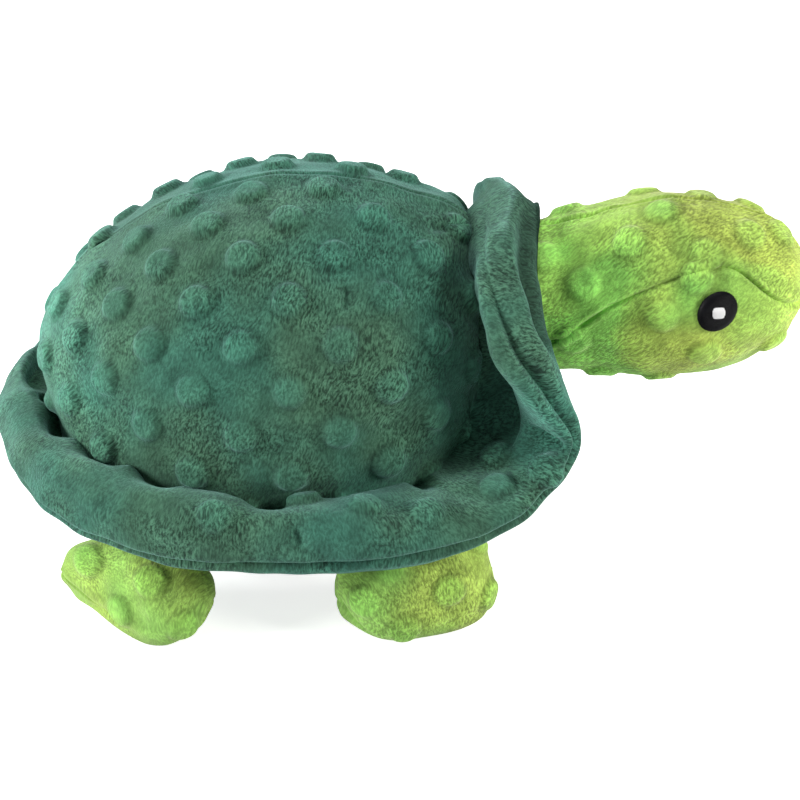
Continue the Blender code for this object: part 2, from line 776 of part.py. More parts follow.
def merge_points(obj):
    """Closes the ends of a leg, where its rows come together in a point."""
    bm = bmesh.new()
    bm.from_mesh(obj.data)
    bmesh.ops.remove_doubles(bm, verts=bm.verts[:], dist=SEAM_GAP / 100)
    bmesh.ops.recalc_face_normals(bm, faces=bm.faces[:])
    bm.to_mesh(obj.data)
    bm.free()
    return obj


def make_leg(name, side, turn, sweep, shift, surface, filling):
    """One leg: a top and a sole of fabric round its filling, all on its hinge."""
    out = leg_seat(turn, shift)
    x = BODY_CENTRE_X + math.cos(turn) * out - math.sin(turn) * shift
    y = math.sin(turn) * out + math.cos(turn) * shift
    place = Vector((x, side * y, LEG_CENTRE_Z))
    frame = Matrix.Translation(place) @ Matrix.Diagonal((1, side, 1, 1)) @ Matrix.Rotation(turn, 4, "Z")

    def placed(inset, upper, lift):
        return [[frame @ point for point in row] for row in leg_rows(inset, upper, lift, sweep)]

    pieces = []
    for upper, part in ((True, "top"), (False, "sole")):
        outer, inner = placed(0.0, upper, SEAM_GAP / 2), placed(FABRIC, upper, SEAM_GAP / 2)
        pieces.append(merge_points(thick_panel(f"{name}_{part}", outer, inner, surface)))
    inset = FABRIC + FILL_GAP
    above, below = placed(inset, True, 0.0), placed(inset, False, 0.0)
    rows = [top + sole[-2:0:-1] for top, sole in zip(above, below)]
    bm = bmesh.new()
    bridge_all(bm, [add_row(bm, row) for row in rows])
    pieces.append(merge_points(add_object(f"{name}_stuffing", bm, filling)))
    hang(f"{name}_hinge", place, pieces)


def build():
    clear_scene()
    green_plush = material("dark_green_plush", DARK_GREEN, 0.95)
    lime_plush = material("lime_plush", LIME, 0.95)
    filling = material("polyester_filling", WADDING, 1.0)
    black = material("black_thread", BLACK_THREAD, 0.55)
    white = material("white_thread", WHITE_THREAD, 0.5)

    pocket = neck_pocket_cutter()
    body_room = as_cutter(whole_body("body_room_cutter", -SEAT_GAP))
    neck_room = neck_room_cutter()
    body = make_shell(green_plush)
    body.append(make_underbody(green_plush))
    body.append(whole_body("body_stuffing", FABRIC + FILL_GAP, 2, filling))
    for piece in body:
        cut(piece, pocket)
    for piece in make_brim(green_plush, filling):
        cut(piece, body_room)
        cut(piece, neck_room)

    head = make_head_cover(lime_plush) + make_eyes(black, white)
    head.append(make_head_stuffing(filling))
    hang("neck_nod_hinge", NECK_PIVOT, head)
    hang("neck_turn_hinge", NECK_PIVOT, [make_neck_seam_allowance(lime_plush)])
    for side, side_name in SIDES:
        name = f"rear_{side_name}_leg"
        make_leg(name, side, REAR_LEG_TURN, REAR_LEG_SWEEP, REAR_LEG_SHIFT, lime_plush, filling)
        name = f"front_{side_name}_leg"
        make_leg(name, side, FRONT_LEG_TURN, FRONT_LEG_SWEEP, FRONT_LEG_SHIFT, lime_plush, filling)


build()
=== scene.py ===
import math

import bmesh
import bpy
import numpy as np
from mathutils import Matrix, Vector


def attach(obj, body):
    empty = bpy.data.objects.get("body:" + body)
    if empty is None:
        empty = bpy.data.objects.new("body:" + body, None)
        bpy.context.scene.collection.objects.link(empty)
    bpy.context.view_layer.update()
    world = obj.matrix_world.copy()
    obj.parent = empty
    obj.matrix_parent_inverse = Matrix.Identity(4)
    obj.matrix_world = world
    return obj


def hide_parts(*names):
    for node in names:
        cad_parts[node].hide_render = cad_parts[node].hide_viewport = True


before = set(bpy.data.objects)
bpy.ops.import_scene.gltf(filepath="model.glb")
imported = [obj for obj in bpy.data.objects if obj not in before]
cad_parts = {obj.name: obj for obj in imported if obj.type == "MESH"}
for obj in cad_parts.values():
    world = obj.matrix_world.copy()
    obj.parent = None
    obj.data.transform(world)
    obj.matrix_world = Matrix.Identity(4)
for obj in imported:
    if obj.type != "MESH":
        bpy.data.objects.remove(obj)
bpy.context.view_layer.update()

# The view and the studio
# The turtle lies on a white table, seen a little from above, from its right side. Four soft lamps
# light it: front left, behind left, above and front right.

TARGET = Vector((0, 0, 0.0437))
CAMERA_DISTANCE = 0.75
CAMERA_HEIGHT_ANGLE = math.radians(28)
LENS = 122.3
SENSOR = 36.0


def put_object(name, data):
    """A new object of the scene."""
    made = bpy.data.objects.new(name, data)
    bpy.context.scene.collection.objects.link(made)
    return made


camera_data = bpy.data.cameras.new("camera")
camera_data.lens = LENS
camera_data.sensor_width = SENSOR
camera = put_object("camera", camera_data)
back = Vector((0, -math.cos(CAMERA_HEIGHT_ANGLE), math.sin(CAMERA_HEIGHT_ANGLE)))
camera.location = TARGET + back * CAMERA_DISTANCE
camera.rotation_euler = back.to_track_quat("Z", "Y").to_euler()
bpy.context.scene.camera = camera

# each lamp's name, place, size, watts and colour
LAMPS = (
    ("key_lamp", (-0.92, -0.28, 0.36), 0.35, 10.5, (1, 1, 1)),
    ("back_lamp", (-0.60, 0.72, 0.42), 0.35, 7.5, (1, 1, 1)),
    ("top_lamp", (-0.15, 0.10, 1.1), 0.6, 4.8, (1, 1, 1)),
    ("right_lamp", (0.92, -0.30, 0.48), 0.4, 10.0, (1.0, 0.98, 0.94)),
)
for name, place, size, watts, colour in LAMPS:
    lamp_data = bpy.data.lights.new(name, "AREA")
    lamp_data.size = size
    lamp_data.energy = watts
    lamp_data.color = colour
    lamp = put_object(name, lamp_data)
    lamp.location = place
    lamp.rotation_euler = (Vector(place) - TARGET).to_track_quat("Z", "Y").to_euler()

WORLD_LIGHT = 0.13
world = bpy.data.worlds.new("studio")
bpy.context.scene.world = world
world.use_nodes = True
background = world.node_tree.nodes["Background"]
background.inputs["Color"].default_value = (1, 1, 1, 1)
background.inputs["Strength"].default_value = WORLD_LIGHT
bpy.context.scene.view_settings.view_transform = "Standard"


def fill_in(node, inputs):
    """Joins a node's inputs to sockets, or sets them to values."""
    for key, value in inputs.items():
        if isinstance(value, bpy.types.NodeSocket):
            node.id_data.links.new(value, node.inputs[key])
        else:
            node.inputs[key].default_value = value
    return node


def add_node(tree, kind, inputs=None, **settings):
    """A new node with these settings and inputs."""
    node = tree.nodes.new(kind)
    for label, value in settings.items():
        setattr(node, label, value)
    return fill_in(node, inputs or {})


def calc(operation, *values, clamp=False):
    """The output of a new Math node for sockets and numbers, in the sockets' node tree."""
    tree = next(value.id_data for value in values if isinstance(value, bpy.types.NodeSocket))
    return add_node(tree, "ShaderNodeMath", dict(enumerate(values)), operation=operation,
                    use_clamp=clamp).outputs[0]


def new_material(name):
    """A new material, its node tree and its Principled shader."""
    made = bpy.data.materials.new(name)
    made.use_nodes = True
    return made, made.node_tree, made.node_tree.nodes["Principled BSDF"]


FLOOR_HALF = 6.0
FLOOR_GREY = 0.9
FLOOR_ROUGHNESS = 0.8
FLOOR_GLOW = 0.78
floor_mesh = bpy.data.meshes.new("floor")
floor_mesh.from_pydata(
    [(x * FLOOR_HALF, y * FLOOR_HALF, 0) for x, y in ((-1, -1), (1, -1), (1, 1), (-1, 1))],
    [], [(0, 1, 2, 3)])
floor = put_object("floor", floor_mesh)
floor_paint, floor_tree, floor_shader = new_material("white_table")
seen = add_node(floor_tree, "ShaderNodeLightPath").outputs["Is Camera Ray"]
fill_in(floor_shader, {
    "Base Color": (FLOOR_GREY, FLOOR_GREY, FLOOR_GREY, 1), "Roughness": FLOOR_ROUGHNESS,
    "Emission Color": (1, 1, 1, 1), "Emission Strength": calc("MULTIPLY", seen, FLOOR_GLOW)})
floor_mesh.materials.append(floor_paint)


# The dome's cover
# Two panels of dark green dimple plush, sewn together along the middle of the back and stuffed
# into a dome. The fabric has a short pile and raised round dots in a diamond lattice.

BODY_CENTRE_X = -0.0350
BODY_HALF_LENGTH = 0.0650
BODY_HALF_WIDTH = 0.0540
BODY_WIDEST_Z = 0.0520
DOME_RISE = 0.0590
DOME_LEAN = 0.0090
DOME_FULLNESS = 2.15
BELLY_DROP = 0.0525
PILE_ROOM = 0.0006
DOT_RADIUS = 0.0042
DOT_HEIGHT = 0.0021
DOT_RIM = 0.00038
LUMP_WAVES = 14
SIDES = ((1, "left"), (-1, "right"))

# The brim, row by row from the tail along the right side to the top of the hood: the azimuth of its join,
# then shares for the join's height, the free edge's x, y and z, the thickness and the hollow.
BRIM_ROWS = (
    (180, 0.00, -1.113, 0.000, 0.96, 1.05, 0.00),
    (150, 0.00, -1.000, 0.700, 0.86, 1.15, 0.00),
    (120, 0.00, -0.600, 1.150, 0.75, 1.30, 0.00),
    (92, 0.00, -0.060, 1.280, 0.67, 1.35, 0.00),
    (66, 0.00, 0.480, 1.250, 0.67, 1.30, 0.05),
    (48, 0.05, 0.940, 1.130, 0.75, 1.10, 0.20),
    (38, 0.20, 1.240, 0.880, 1.05, 0.90, 0.55),
    (34, 0.42, 1.150, 0.860, 1.36, 0.80, 0.75),
    (31, 0.66, 1.060, 0.800, 1.64, 0.82, 0.70),
    (20, 0.88, 1.050, 0.480, 1.85, 0.88, 0.45),
    (0, 1.00, 1.080, 0.000, 1.94, 0.92, 0.25),
)
JOIN_Z = 0.0370
HOOD_HEIGHT = 0.0600


def brim_course(share):
    """The brim's rows at shares of the way round, from the tail along the right side, back on the left."""
    rows = np.array([(-a, r, x, -y, z, t, c) for a, r, x, y, z, t, c in BRIM_ROWS], float)
    left = rows[-2:0:-1] * (-1, 1, 1, -1, 1, 1, 1)
    ring = np.vstack([rows, left])
    count = len(ring)
    place = np.asarray(share, float) * count
    index = np.floor(place).astype(int)
    t = (place - index)[..., None]
    picked = []
    for step in (-1, 0, 1, 2):
        at = index + step
        row = ring[at % count].copy()
        row[..., 0] += 360.0 * (at // count)
        picked.append(row)
    p0, p1, p2, p3 = picked
    return p1 + (t * (p2 - p0) + t**2 * (2 * p0 - 5 * p1 + 4 * p2 - p3)
                 + t**3 * (3 * p1 - p0 - 3 * p2 + p3)) / 2


def polar_at(height):
    """The body's polar angle, from its top, where its outside is at this height."""
    over = np.clip((height - BODY_WIDEST_Z) / DOME_RISE, 0, 1) ** (DOME_FULLNESS / 2)
    under = np.clip((height - BODY_WIDEST_Z) / BELLY_DROP, -1, 0)
    return np.where(height >= BODY_WIDEST_Z, np.arccos(over), np.arccos(under))


def body_surface(azimuth, polar, inset):
    """Points on the stuffed body's outside, an egg that is domed above and bowl-shaped below."""
    cosine, sine = np.cos(polar), np.sin(polar)
    above = polar < math.pi / 2
    rise = np.where(above, np.maximum(cosine, 0) ** (2 / DOME_FULLNESS), 0)
    girth = np.where(above, np.maximum(sine, 0) ** (2 / DOME_FULLNESS), sine)
    low = np.maximum(BODY_WIDEST_Z + (BELLY_DROP - inset) * cosine, inset)
    z = np.where(above, BODY_WIDEST_Z + (DOME_RISE - inset) * rise, low)
    x = BODY_CENTRE_X + DOME_LEAN * rise + (BODY_HALF_LENGTH - inset) * girth * np.cos(azimuth)
    y = (BODY_HALF_WIDTH - inset) * girth * np.sin(azimuth)
    return np.stack([x, y, z], -1)


JOIN_COURSE = brim_course(np.linspace(0, 1, 801))


def join_height(azimuth):
    """The height of the join between the dome and the brim at azimuths from -180 to 180 degrees."""
    return JOIN_Z + HOOD_HEIGHT * np.interp(azimuth, JOIN_COURSE[:, 0], JOIN_COURSE[:, 1])


def grid_normals(grid, wraps=False):
    """Unit normals of a grid of points, from the differences along its rows and columns."""
    if wraps:
        return grid_normals(np.concatenate([grid[-1:], grid, grid[:1]]))[1:-1]
    across = np.cross(np.gradient(grid, axis=1), np.gradient(grid, axis=0))
    length = np.linalg.norm(across, axis=-1, keepdims=True)
    return across / np.maximum(length, 1e-12)


def lengths_along(points):
    """How far along its line each point is, for one line or for rows of them."""
    steps = np.diff(points, axis=-2, prepend=points[..., :1, :])
    return np.cumsum(np.linalg.norm(steps, axis=-1), axis=-1)


def outward_normals(grid, inside):
    """Unit normals of a grid of points, turned away from what is inside."""
    normals = grid_normals(grid)
    return normals * np.where(((grid - inside) * normals).sum(-1, keepdims=True) < 0, -1, 1)


def soft_lumps(points, size, seed):
    """Smooth random unevenness of about unit size, as loose filling gives, in lumps about size across."""
    numbers = np.random.default_rng(seed)
    total = np.zeros(points.shape[:-1])
    for _ in range(LUMP_WAVES):
        way = numbers.normal(size=3)
        way *= numbers.uniform(0.6, 1.4) * 2 * math.pi / size / np.linalg.norm(way)
        total += np.sin(points @ way + numbers.uniform(0, 2 * math.pi))
    return total / math.sqrt(LUMP_WAVES)


def bell(distance, width):
    """1 at no distance, fading smoothly to nothing beyond the width."""
    return np.exp(-((distance / width) ** 2))


def rounded(value, power):
    """A sine or cosine raised to a power, with its sign kept."""
    return np.sign(value) * np.abs(value) ** power


def swelling(points, centre, reach):
    """1 at the centre, fading smoothly to nothing beyond the reach along x, y and z."""
    return np.exp(-(((points - centre) / reach) ** 2).sum(-1))


def groove(distance, depth, width, shoulder):
    """How a seam draws the fabric in beside it: a narrow valley between two low swellings."""
    return shoulder * bell(distance - 2.6 * width, 1.6 * width) - depth * bell(distance, width)


def crease(points, line, depth, width):
    """A fold pressed into the fabric along a line through a few places, which fades at its two ends."""
    line = np.asarray(line, float)
    from_ends = [np.linalg.norm(points - end, axis=-1) for end in (line[0], line[-1])]
    fade = np.clip(np.minimum(*from_ends) / (2.5 * width), 0.15, 1)
    distance = np.full(points.shape[:-1], 1.0)
    for a, b in zip(line, line[1:]):
        along = b - a
        t = np.clip((points - a) @ along / (along @ along), 0, 1)
        distance = np.minimum(distance, np.linalg.norm(points - a - t[..., None] * along, axis=-1))
    return -depth * fade * bell(distance, width)


def cloth_mesh(name, grid, nap, inside, wraps=False, dark=0.0, warm=0.0):
    """A sheet over a grid of points, facing away from inside, with its pile's own flat coordinates, its
    painted shading (painted shade where positive, painted light where negative), and how much yellower it
    is."""
    rows, columns = grid.shape[:2]
    index = np.arange(rows * columns).reshape(rows, columns)
    if wraps:
        index = np.vstack([index, index[:1]])
    quads = np.stack([index[:-1, :-1], index[1:, :-1], index[1:, 1:], index[:-1, 1:]], -1).reshape(-1, 4)
    points = grid.reshape(-1, 3)
    middle = np.broadcast_to(np.asarray(inside, float), grid.shape).reshape(-1, 3)
    a, b, c, d = (points[quads[:, k]] for k in range(4))
    facing = np.cross(c - a, d - b)
    if (facing * (a - middle[quads[:, 0]])).sum() < 0:
        quads = quads[:, ::-1]
    mesh = bpy.data.meshes.new(name)
    mesh.from_pydata(points.tolist(), [], quads.tolist())
    # the painted shading rides along as the third value of the nap attribute
    flat = np.concatenate([nap, np.broadcast_to(dark, nap.shape[:-1])[..., None]], -1)
    yellower = np.broadcast_to(warm, nap.shape[:-1])
    for label, kind, field, values in (("nap", "FLOAT_VECTOR", "vector", flat),
                                       ("warm", "FLOAT", "value", yellower)):
        attribute = mesh.attributes.new(label, kind, "POINT")
        attribute.data.foreach_set(field, values.astype(np.float32).ravel())
    mesh.validate()
    bm = bmesh.new()
    bm.from_mesh(mesh)
    bmesh.ops.remove_doubles(bm, verts=bm.verts[:], dist=2e-6)
    bm.to_mesh(mesh)
    bm.free()
    mesh.shade_smooth()
    return put_object(name, mesh)


def new_tree(name, kind, inputs, outputs):
    """A new node tree, the sockets of its inputs and its output node. Inputs have a label, a kind and
    some a value."""
    tree = bpy.data.node_groups.new(name, kind)
    for in_out, rows in (("INPUT", inputs), ("OUTPUT", outputs)):
        for label, socket_kind, *value in rows:
            socket = tree.interface.new_socket(label, in_out=in_out, socket_type="NodeSocket" + socket_kind)
            if value:
                socket.default_value = value[0]
    return tree, tree.nodes.new("NodeGroupInput").outputs, tree.nodes.new("NodeGroupOutput")


def close_tree(tree, end, geometry, material):
    """Gives the geometry its material and puts it out."""
    made = add_node(tree, "GeometryNodeSetMaterial", {"Geometry": geometry, "Material": material})
    fill_in(end, {0: made.outputs["Geometry"]})
    return tree


def dots_tree():
    """Raises round dots on a cloth at the points of another mesh, and stores how raised it is as 'dot'."""
    tree, given, end = new_tree(
        "raised dots", "GeometryNodeTree",
        (("Cloth", "Geometry"), ("Dot places", "Object"), ("Height", "Float"), ("Radius", "Float"),
         ("Rim", "Float"), ("Material", "Material")), (("Dotted cloth", "Geometry"),))
    places = add_node(tree, "GeometryNodeObjectInfo", {"Object": given["Dot places"]})
    near = add_node(tree, "GeometryNodeProximity", {"Geometry": places.outputs["Geometry"]},
                    target_element="POINTS")
    beyond = calc("SUBTRACT", near.outputs["Distance"], given["Radius"])
    steep = calc("EXPONENT", calc("DIVIDE", beyond, given["Rim"]))
    raised = calc("DIVIDE", 1.0, calc("ADD", steep, 1.0))
    keep = add_node(tree, "GeometryNodeStoreNamedAttribute",
                    {"Geometry": given["Cloth"], "Name": "dot", "Value": raised},
                    data_type="FLOAT", domain="POINT")
    lift = add_node(tree, "ShaderNodeVectorMath", {
        0: add_node(tree, "GeometryNodeInputNormal").outputs[0],
        "Scale": calc("MULTIPLY", raised, given["Height"])}, operation="SCALE")
    move = add_node(tree, "GeometryNodeSetPosition",
                    {"Geometry": keep.outputs["Geometry"], "Offset": lift.outputs[0]})
    whole = add_node(tree, "GeometryNodeRealizeInstances", {"Geometry": move.outputs["Geometry"]})
    return close_tree(tree, end, whole.outputs["Geometry"], given["Material"])


def set_inputs(modifier, values):
    """Sets a Geometry Nodes modifier's inputs by their labels, through their identifiers."""
    for item in modifier.node_group.interface.items_tree:
        if item.item_type == "SOCKET" and item.in_out == "INPUT" and item.name in values:
            modifier[item.identifier] = values[item.name]


def settled(piece):
    """Puts the result of the piece's modifiers in its mesh, and removes them."""
    graph = bpy.context.evaluated_depsgraph_get()
    made = bpy.data.meshes.new_from_object(piece.evaluated_get(graph), preserve_all_data_layers=True,
                                           depsgraph=graph)
    piece.modifiers.clear()
    old = piece.data
    piece.data = made
    bpy.data.meshes.remove(old)
    made.name = piece.name


RAISED_DOTS = dots_tree()


def raise_dots(piece, places, material, height=DOT_HEIGHT):
    """Raises dots on the piece at places on it."""
    mesh = bpy.data.meshes.new("dot_places")
    mesh.from_pydata([tuple(p) for p in places] or [(0, 0, -1)], [], [])
    marks = put_object("dot_places", mesh)
    modifier = piece.modifiers.new("raised dots", "NODES")
    modifier.node_group = RAISED_DOTS
    set_inputs(modifier, {"Dot places": marks, "Height": height, "Radius": DOT_RADIUS, "Rim": DOT_RIM,
                          "Material": material})
    settled(piece)
    bpy.data.objects.remove(marks)
    bpy.data.meshes.remove(mesh)


# how light the pile is, how much painted light each dot gets, how much painted shade round its foot, and how
# soon that shade ends
PILE_LIGHT = 1.01
DOT_PAINTED_LIGHT = 0.44
DOT_FOOT_PAINTED_SHADE = 0.28
DOT_FOOT_STEEPNESS = 8.0
MOTTLING_SCALE = 150.0
CRISPNESS_SCALE = 55.0
WANDER_SCALE = 110.0
WANDER_REACH = 5.0


def plush_group():
    """The look of short-pile plush: patches where the pile leans another way, and its fine streaks, with
    painted light and shade: from the third value of the nap, a painted highlight on each dot and painted
    shade round its foot.
    """
    tree, given, end = new_tree(
        "plush pile", "ShaderNodeTree",
        (("Place", "Vector"), ("Nap", "Vector"), ("Dot", "Float"), ("Warm", "Float"), ("Colour", "Color"),
         ("Leaning colour", "Color"), ("Dot colour", "Color"), ("Dot tint", "Float"),
         ("Patch scale", "Float", 26.0), ("Streaks across", "Float", 1800.0),
         ("Streaks along", "Float", 780.0), ("Streak contrast", "Float")),
        (("Colour", "Color"), ("Height", "Float")))

    def vectors(operation, inputs):
        return add_node(tree, "ShaderNodeVectorMath", inputs, operation=operation).outputs[0]

    def noise(vector, scale, detail, rough=0.5):
        return add_node(tree, "ShaderNodeTexNoise", {
            "Vector": vector, "Scale": scale, "Detail": detail, "Roughness": rough}).outputs["Fac"]

    def spread(value, low, high, to_low, to_high):
        return add_node(tree, "ShaderNodeMapRange", {
            "Value": value, "From Min": low, "From Max": high, "To Min": to_low, "To Max": to_high},
            interpolation_type="SMOOTHSTEP").outputs["Result"]

    def mix(kind, factor, first, second):
        return add_node(tree, "ShaderNodeMix", {"Factor": factor, 6: first, 7: second},
                        data_type="RGBA", blend_type=kind).outputs[2]

    patches = spread(noise(given["Place"], given["Patch scale"], 2.0), 0.38, 0.62, 0.0, 1.0)
    mottling = spread(noise(given["Place"], MOTTLING_SCALE, 3.0), 0.3, 0.7, 0.80, 1.18)
    stretch = add_node(tree, "ShaderNodeCombineXYZ", {
        "X": given["Streaks across"], "Y": given["Streaks along"]}).outputs[0]
    wander = add_node(tree, "ShaderNodeTexNoise", {"Vector": given["Place"], "Scale": WANDER_SCALE})
    bend = vectors("SCALE", {0: wander.outputs["Color"], "Scale": WANDER_REACH})
    run = vectors("ADD", {0: vectors("MULTIPLY", {0: given["Nap"], 1: stretch}), 1: bend})
    streaks = noise(run, 1.0, 3.0, 0.65)
    light = spread(streaks, 0.34, 0.68, -1.0, 1.0)
    crisp = spread(noise(given["Place"], CRISPNESS_SCALE, 1.0), 0.35, 0.65, 0.5, 1.2)
    contrast = calc("MULTIPLY", crisp, given["Streak contrast"])
    factor = calc("ADD", calc("MULTIPLY", light, contrast), 1.0)
    # painted light and shade: the nap's third value darkens or lightens the pile, each dot gets a painted
    # highlight and painted shade round its foot
    painted_shading_split = add_node(tree, "ShaderNodeSeparateXYZ", {0: given["Nap"]})
    painted_light_factor = calc("SUBTRACT", PILE_LIGHT, painted_shading_split.outputs["Z"])
    painted_light_factor = calc("ADD", painted_light_factor, calc("MULTIPLY", given["Dot"], DOT_PAINTED_LIGHT))
    foot = calc("MULTIPLY", given["Dot"], DOT_FOOT_STEEPNESS, clamp=True)
    painted_light_factor = calc("SUBTRACT", painted_light_factor, calc("MULTIPLY", foot, DOT_FOOT_PAINTED_SHADE))
    shade = calc("MULTIPLY", calc("MULTIPLY", factor, mottling), painted_light_factor)
    grey = add_node(tree, "ShaderNodeCombineXYZ", {0: shade, 1: shade, 2: shade})
    warmth = calc("ADD", patches, given["Warm"], clamp=True)
    base = mix("MIX", warmth, given["Colour"], given["Leaning colour"])
    tint = calc("MULTIPLY", given["Dot"], given["Dot tint"])
    dotted = mix("MIX", tint, base, given["Dot colour"])
    fill_in(end, {
        "Colour": mix("MULTIPLY", 1.0, dotted, grey.outputs[0]),
        "Height": calc("ADD", streaks, calc("MULTIPLY", mottling, 0.6))})
    return tree


PLUSH = plush_group()


def plush_material(name, colour, leaning, dot_colour, sheen_tint, nap_turn, dot_tint, contrast):
    """A plush finish whose pile streaks run along the piece's own nap, turned by nap_turn degrees."""
    made, tree, shader = new_material(name)
    place = add_node(tree, "ShaderNodeTexCoord").outputs["Object"]
    nap, dot, warm = (add_node(tree, "ShaderNodeAttribute", attribute_name=label).outputs
                      for label in ("nap", "dot", "warm"))
    turn = add_node(tree, "ShaderNodeMapping", {
        "Vector": nap["Vector"], "Rotation": (0, 0, math.radians(nap_turn))}).outputs[0]
    group = add_node(tree, "ShaderNodeGroup", {
        "Place": place, "Nap": turn, "Dot": dot["Fac"], "Warm": warm["Fac"], "Colour": (*colour, 1),
        "Leaning colour": (*leaning, 1), "Dot colour": (*dot_colour, 1), "Dot tint": dot_tint,
        "Streak contrast": contrast}, node_tree=PLUSH)
    bump = add_node(tree, "ShaderNodeBump", {
        "Height": group.outputs["Height"], "Strength": 0.55, "Distance": 0.0007})
    # the sheen fades where shade is painted
    painted_shading_split = add_node(tree, "ShaderNodeSeparateXYZ", {0: nap["Vector"]})
    sheen = add_node(tree, "ShaderNodeMapRange", {
        "Value": painted_shading_split.outputs["Z"], "To Min": 0.45, "To Max": 0.05})
    fill_in(shader, {
        "Base Color": group.outputs["Colour"], "Normal": bump.outputs[0], "Roughness": 0.92,
        "Specular IOR Level": 0.15, "Sheen Weight": sheen.outputs["Result"], "Sheen Roughness": 0.45,
        "Sheen Tint": (*sheen_tint, 1)})
    return made


GREEN_DOTS = (0.038, 0.138, 0.094)
GREEN_SHEEN = (0.42, 0.80, 0.76)
DOME_PLUSH = plush_material("dark_green_dome_plush", (0.036, 0.124, 0.086), (0.049, 0.121, 0.073),
                            GREEN_DOTS, GREEN_SHEEN, nap_turn=18, dot_tint=0.4, contrast=0.6)

PANEL_MIDDLE = np.array((BODY_CENTRE_X, 0, BODY_WIDEST_Z))
PANEL_RADIUS = 0.058
DOT_STEP = 0.0275
DOT_ROW_STEP = 0.0122
# where the lattice of dots begins on the flat panel, how its rows sag, and where it ends
DOT_START = (0.0075, 0.0225)
LEFT_DOT_SHIFT = 0.0093
DOT_ROW_SAG = 48
DOT_MARGIN = 0.004
DOTS_LOWEST = -0.030
DOME_STEPS_ROUND = 341
DOME_STEPS_UP = 181
JOIN_OVERLAP = 0.004
RIDGE_HEIGHT = 0.0008
RIDGE_WIDTH = 0.0035


def dome_place(side, u, v):
    """The point of the dome's side panel at flat cloth coordinates, measured from the middle of its side."""
    far = math.hypot(u, v) / PANEL_RADIUS
    turn = math.atan2(v, u)
    way = np.array((math.sin(far) * math.cos(turn), side * math.cos(far), math.sin(far) * math.sin(turn)))
    reach = 0.02
    for _ in range(40):
        point = PANEL_MIDDLE + way * reach
        rise = max(point[2] - BODY_WIDEST_Z, 0) / DOME_RISE
        drop = min(point[2] - BODY_WIDEST_Z, 0) / BELLY_DROP
        ahead = point[0] - BODY_CENTRE_X - DOME_LEAN * rise
        plan = math.hypot(ahead / BODY_HALF_LENGTH, point[1] / BODY_HALF_WIDTH)
        over = (plan**DOME_FULLNESS + rise**DOME_FULLNESS) ** (1 / DOME_FULLNESS)
        if not rise:
            over = plan / math.sqrt(max(1 - drop**2, 1e-9))
        reach *= 1 + (1 / over - 1) * 0.8
    return PANEL_MIDDLE + way * reach


def flat_place(points, side):
    """The flat cloth coordinates of points on a side panel."""
    way = points - PANEL_MIDDLE
    way = way / np.linalg.norm(way, axis=-1, keepdims=True)
    far = np.arccos(np.clip(side * way[..., 1], -1, 1))
    turn = np.arctan2(way[..., 2], way[..., 0])
    return np.stack([far * np.cos(turn), far * np.sin(turn)], -1) * PANEL_RADIUS


# creases of the right side: the line, the depth and the width
DOME_CREASES = (
    (((-0.0138, -0.0349, 0.0972), (-0.0137, -0.0381, 0.0937), (-0.0143, -0.0410, 0.0902)), 0.0016, 0.0011),
    (((0.0058, -0.0138, 0.1020), (0.0080, -0.0125, 0.1012), (0.0105, -0.0103, 0.1001),
      (0.0162, -0.0043, 0.0968)), 0.0016, 0.0016),
)
# soft rises and dents of the stuffed dome: the middle, the reach along x, y and z, and the height
DOME_SWELLS = (
    ((-0.098, 0, 0.077), (0.020, 0.030, 0.015), 0.0021),
    ((-0.100, 0, 0.046), (0.020, 0.030, 0.012), -0.0050),
    ((0.0130, 0.006, 0.0985), (0.010, 0.016, 0.012), 0.0032),
)

for side, side_name in SIDES:
    azimuth = np.linspace(0, 180, DOME_STEPS_ROUND)
    start = polar_at(join_height(azimuth) - JOIN_OVERLAP)
    polar = np.linspace(1, 0, DOME_STEPS_UP)[:, None] * start
    grid = body_surface(np.radians(azimuth) * side, polar, PILE_ROOM)
    normals = outward_normals(grid, PANEL_MIDDLE)
    normals[-1] = (0, 0, 1)
    seam = np.abs(grid[..., 1])
    offset = RIDGE_HEIGHT * bell(seam, RIDGE_WIDTH) + groove(seam, 0.0004, 0.0006, 0.0001)
    offset += 0.0005 * soft_lumps(grid, 0.030, 8) + 0.00025 * soft_lumps(grid, 0.012, 18)
    for centre, reach, height in DOME_SWELLS:
        offset += height * swelling(grid, centre, reach)
    # painted light on the low tail end of the dome, and painted shade high up on each side towards the tail
    dark = -0.55 * swelling(grid, (-0.094, 0, 0.070), (0.022, 0.045, 0.024))
    dark += 0.25 * swelling(grid, (-0.073, side * 0.018, 0.104), 0.017)
    if side < 0:
        for line, depth, width in DOME_CREASES:
            offset += crease(grid, line, depth, width)
    grid = grid + normals * offset[..., None]
    piece = cloth_mesh(f"shell_cover_{side_name}", grid, flat_place(grid, side), PANEL_MIDDLE, dark=dark)
    places = []
    shift = LEFT_DOT_SHIFT if side > 0 else 0.0
    for row in range(-3, 6):
        for step in range(-4, 5):
            u = DOT_START[0] + shift + DOT_STEP * (step + (row % 2) / 2)
            v = (DOT_START[1] + DOT_ROW_STEP * row) * (1 - DOT_ROW_SAG * u * u)
            if math.hypot(u, v) < PANEL_RADIUS * math.pi / 2 - DOT_MARGIN and v > DOTS_LOWEST:
                places.append(dome_place(side, u, v))
    raise_dots(piece, places, DOME_PLUSH)
    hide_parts(f"shell_panel_{side_name}")
    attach(piece, "body")


# The padded brim
# A ring of wadding between two panels of the same plush, sewn together at its free edge. It rolls
# round the foot of the dome, and turns up in front as a hood over the neck.

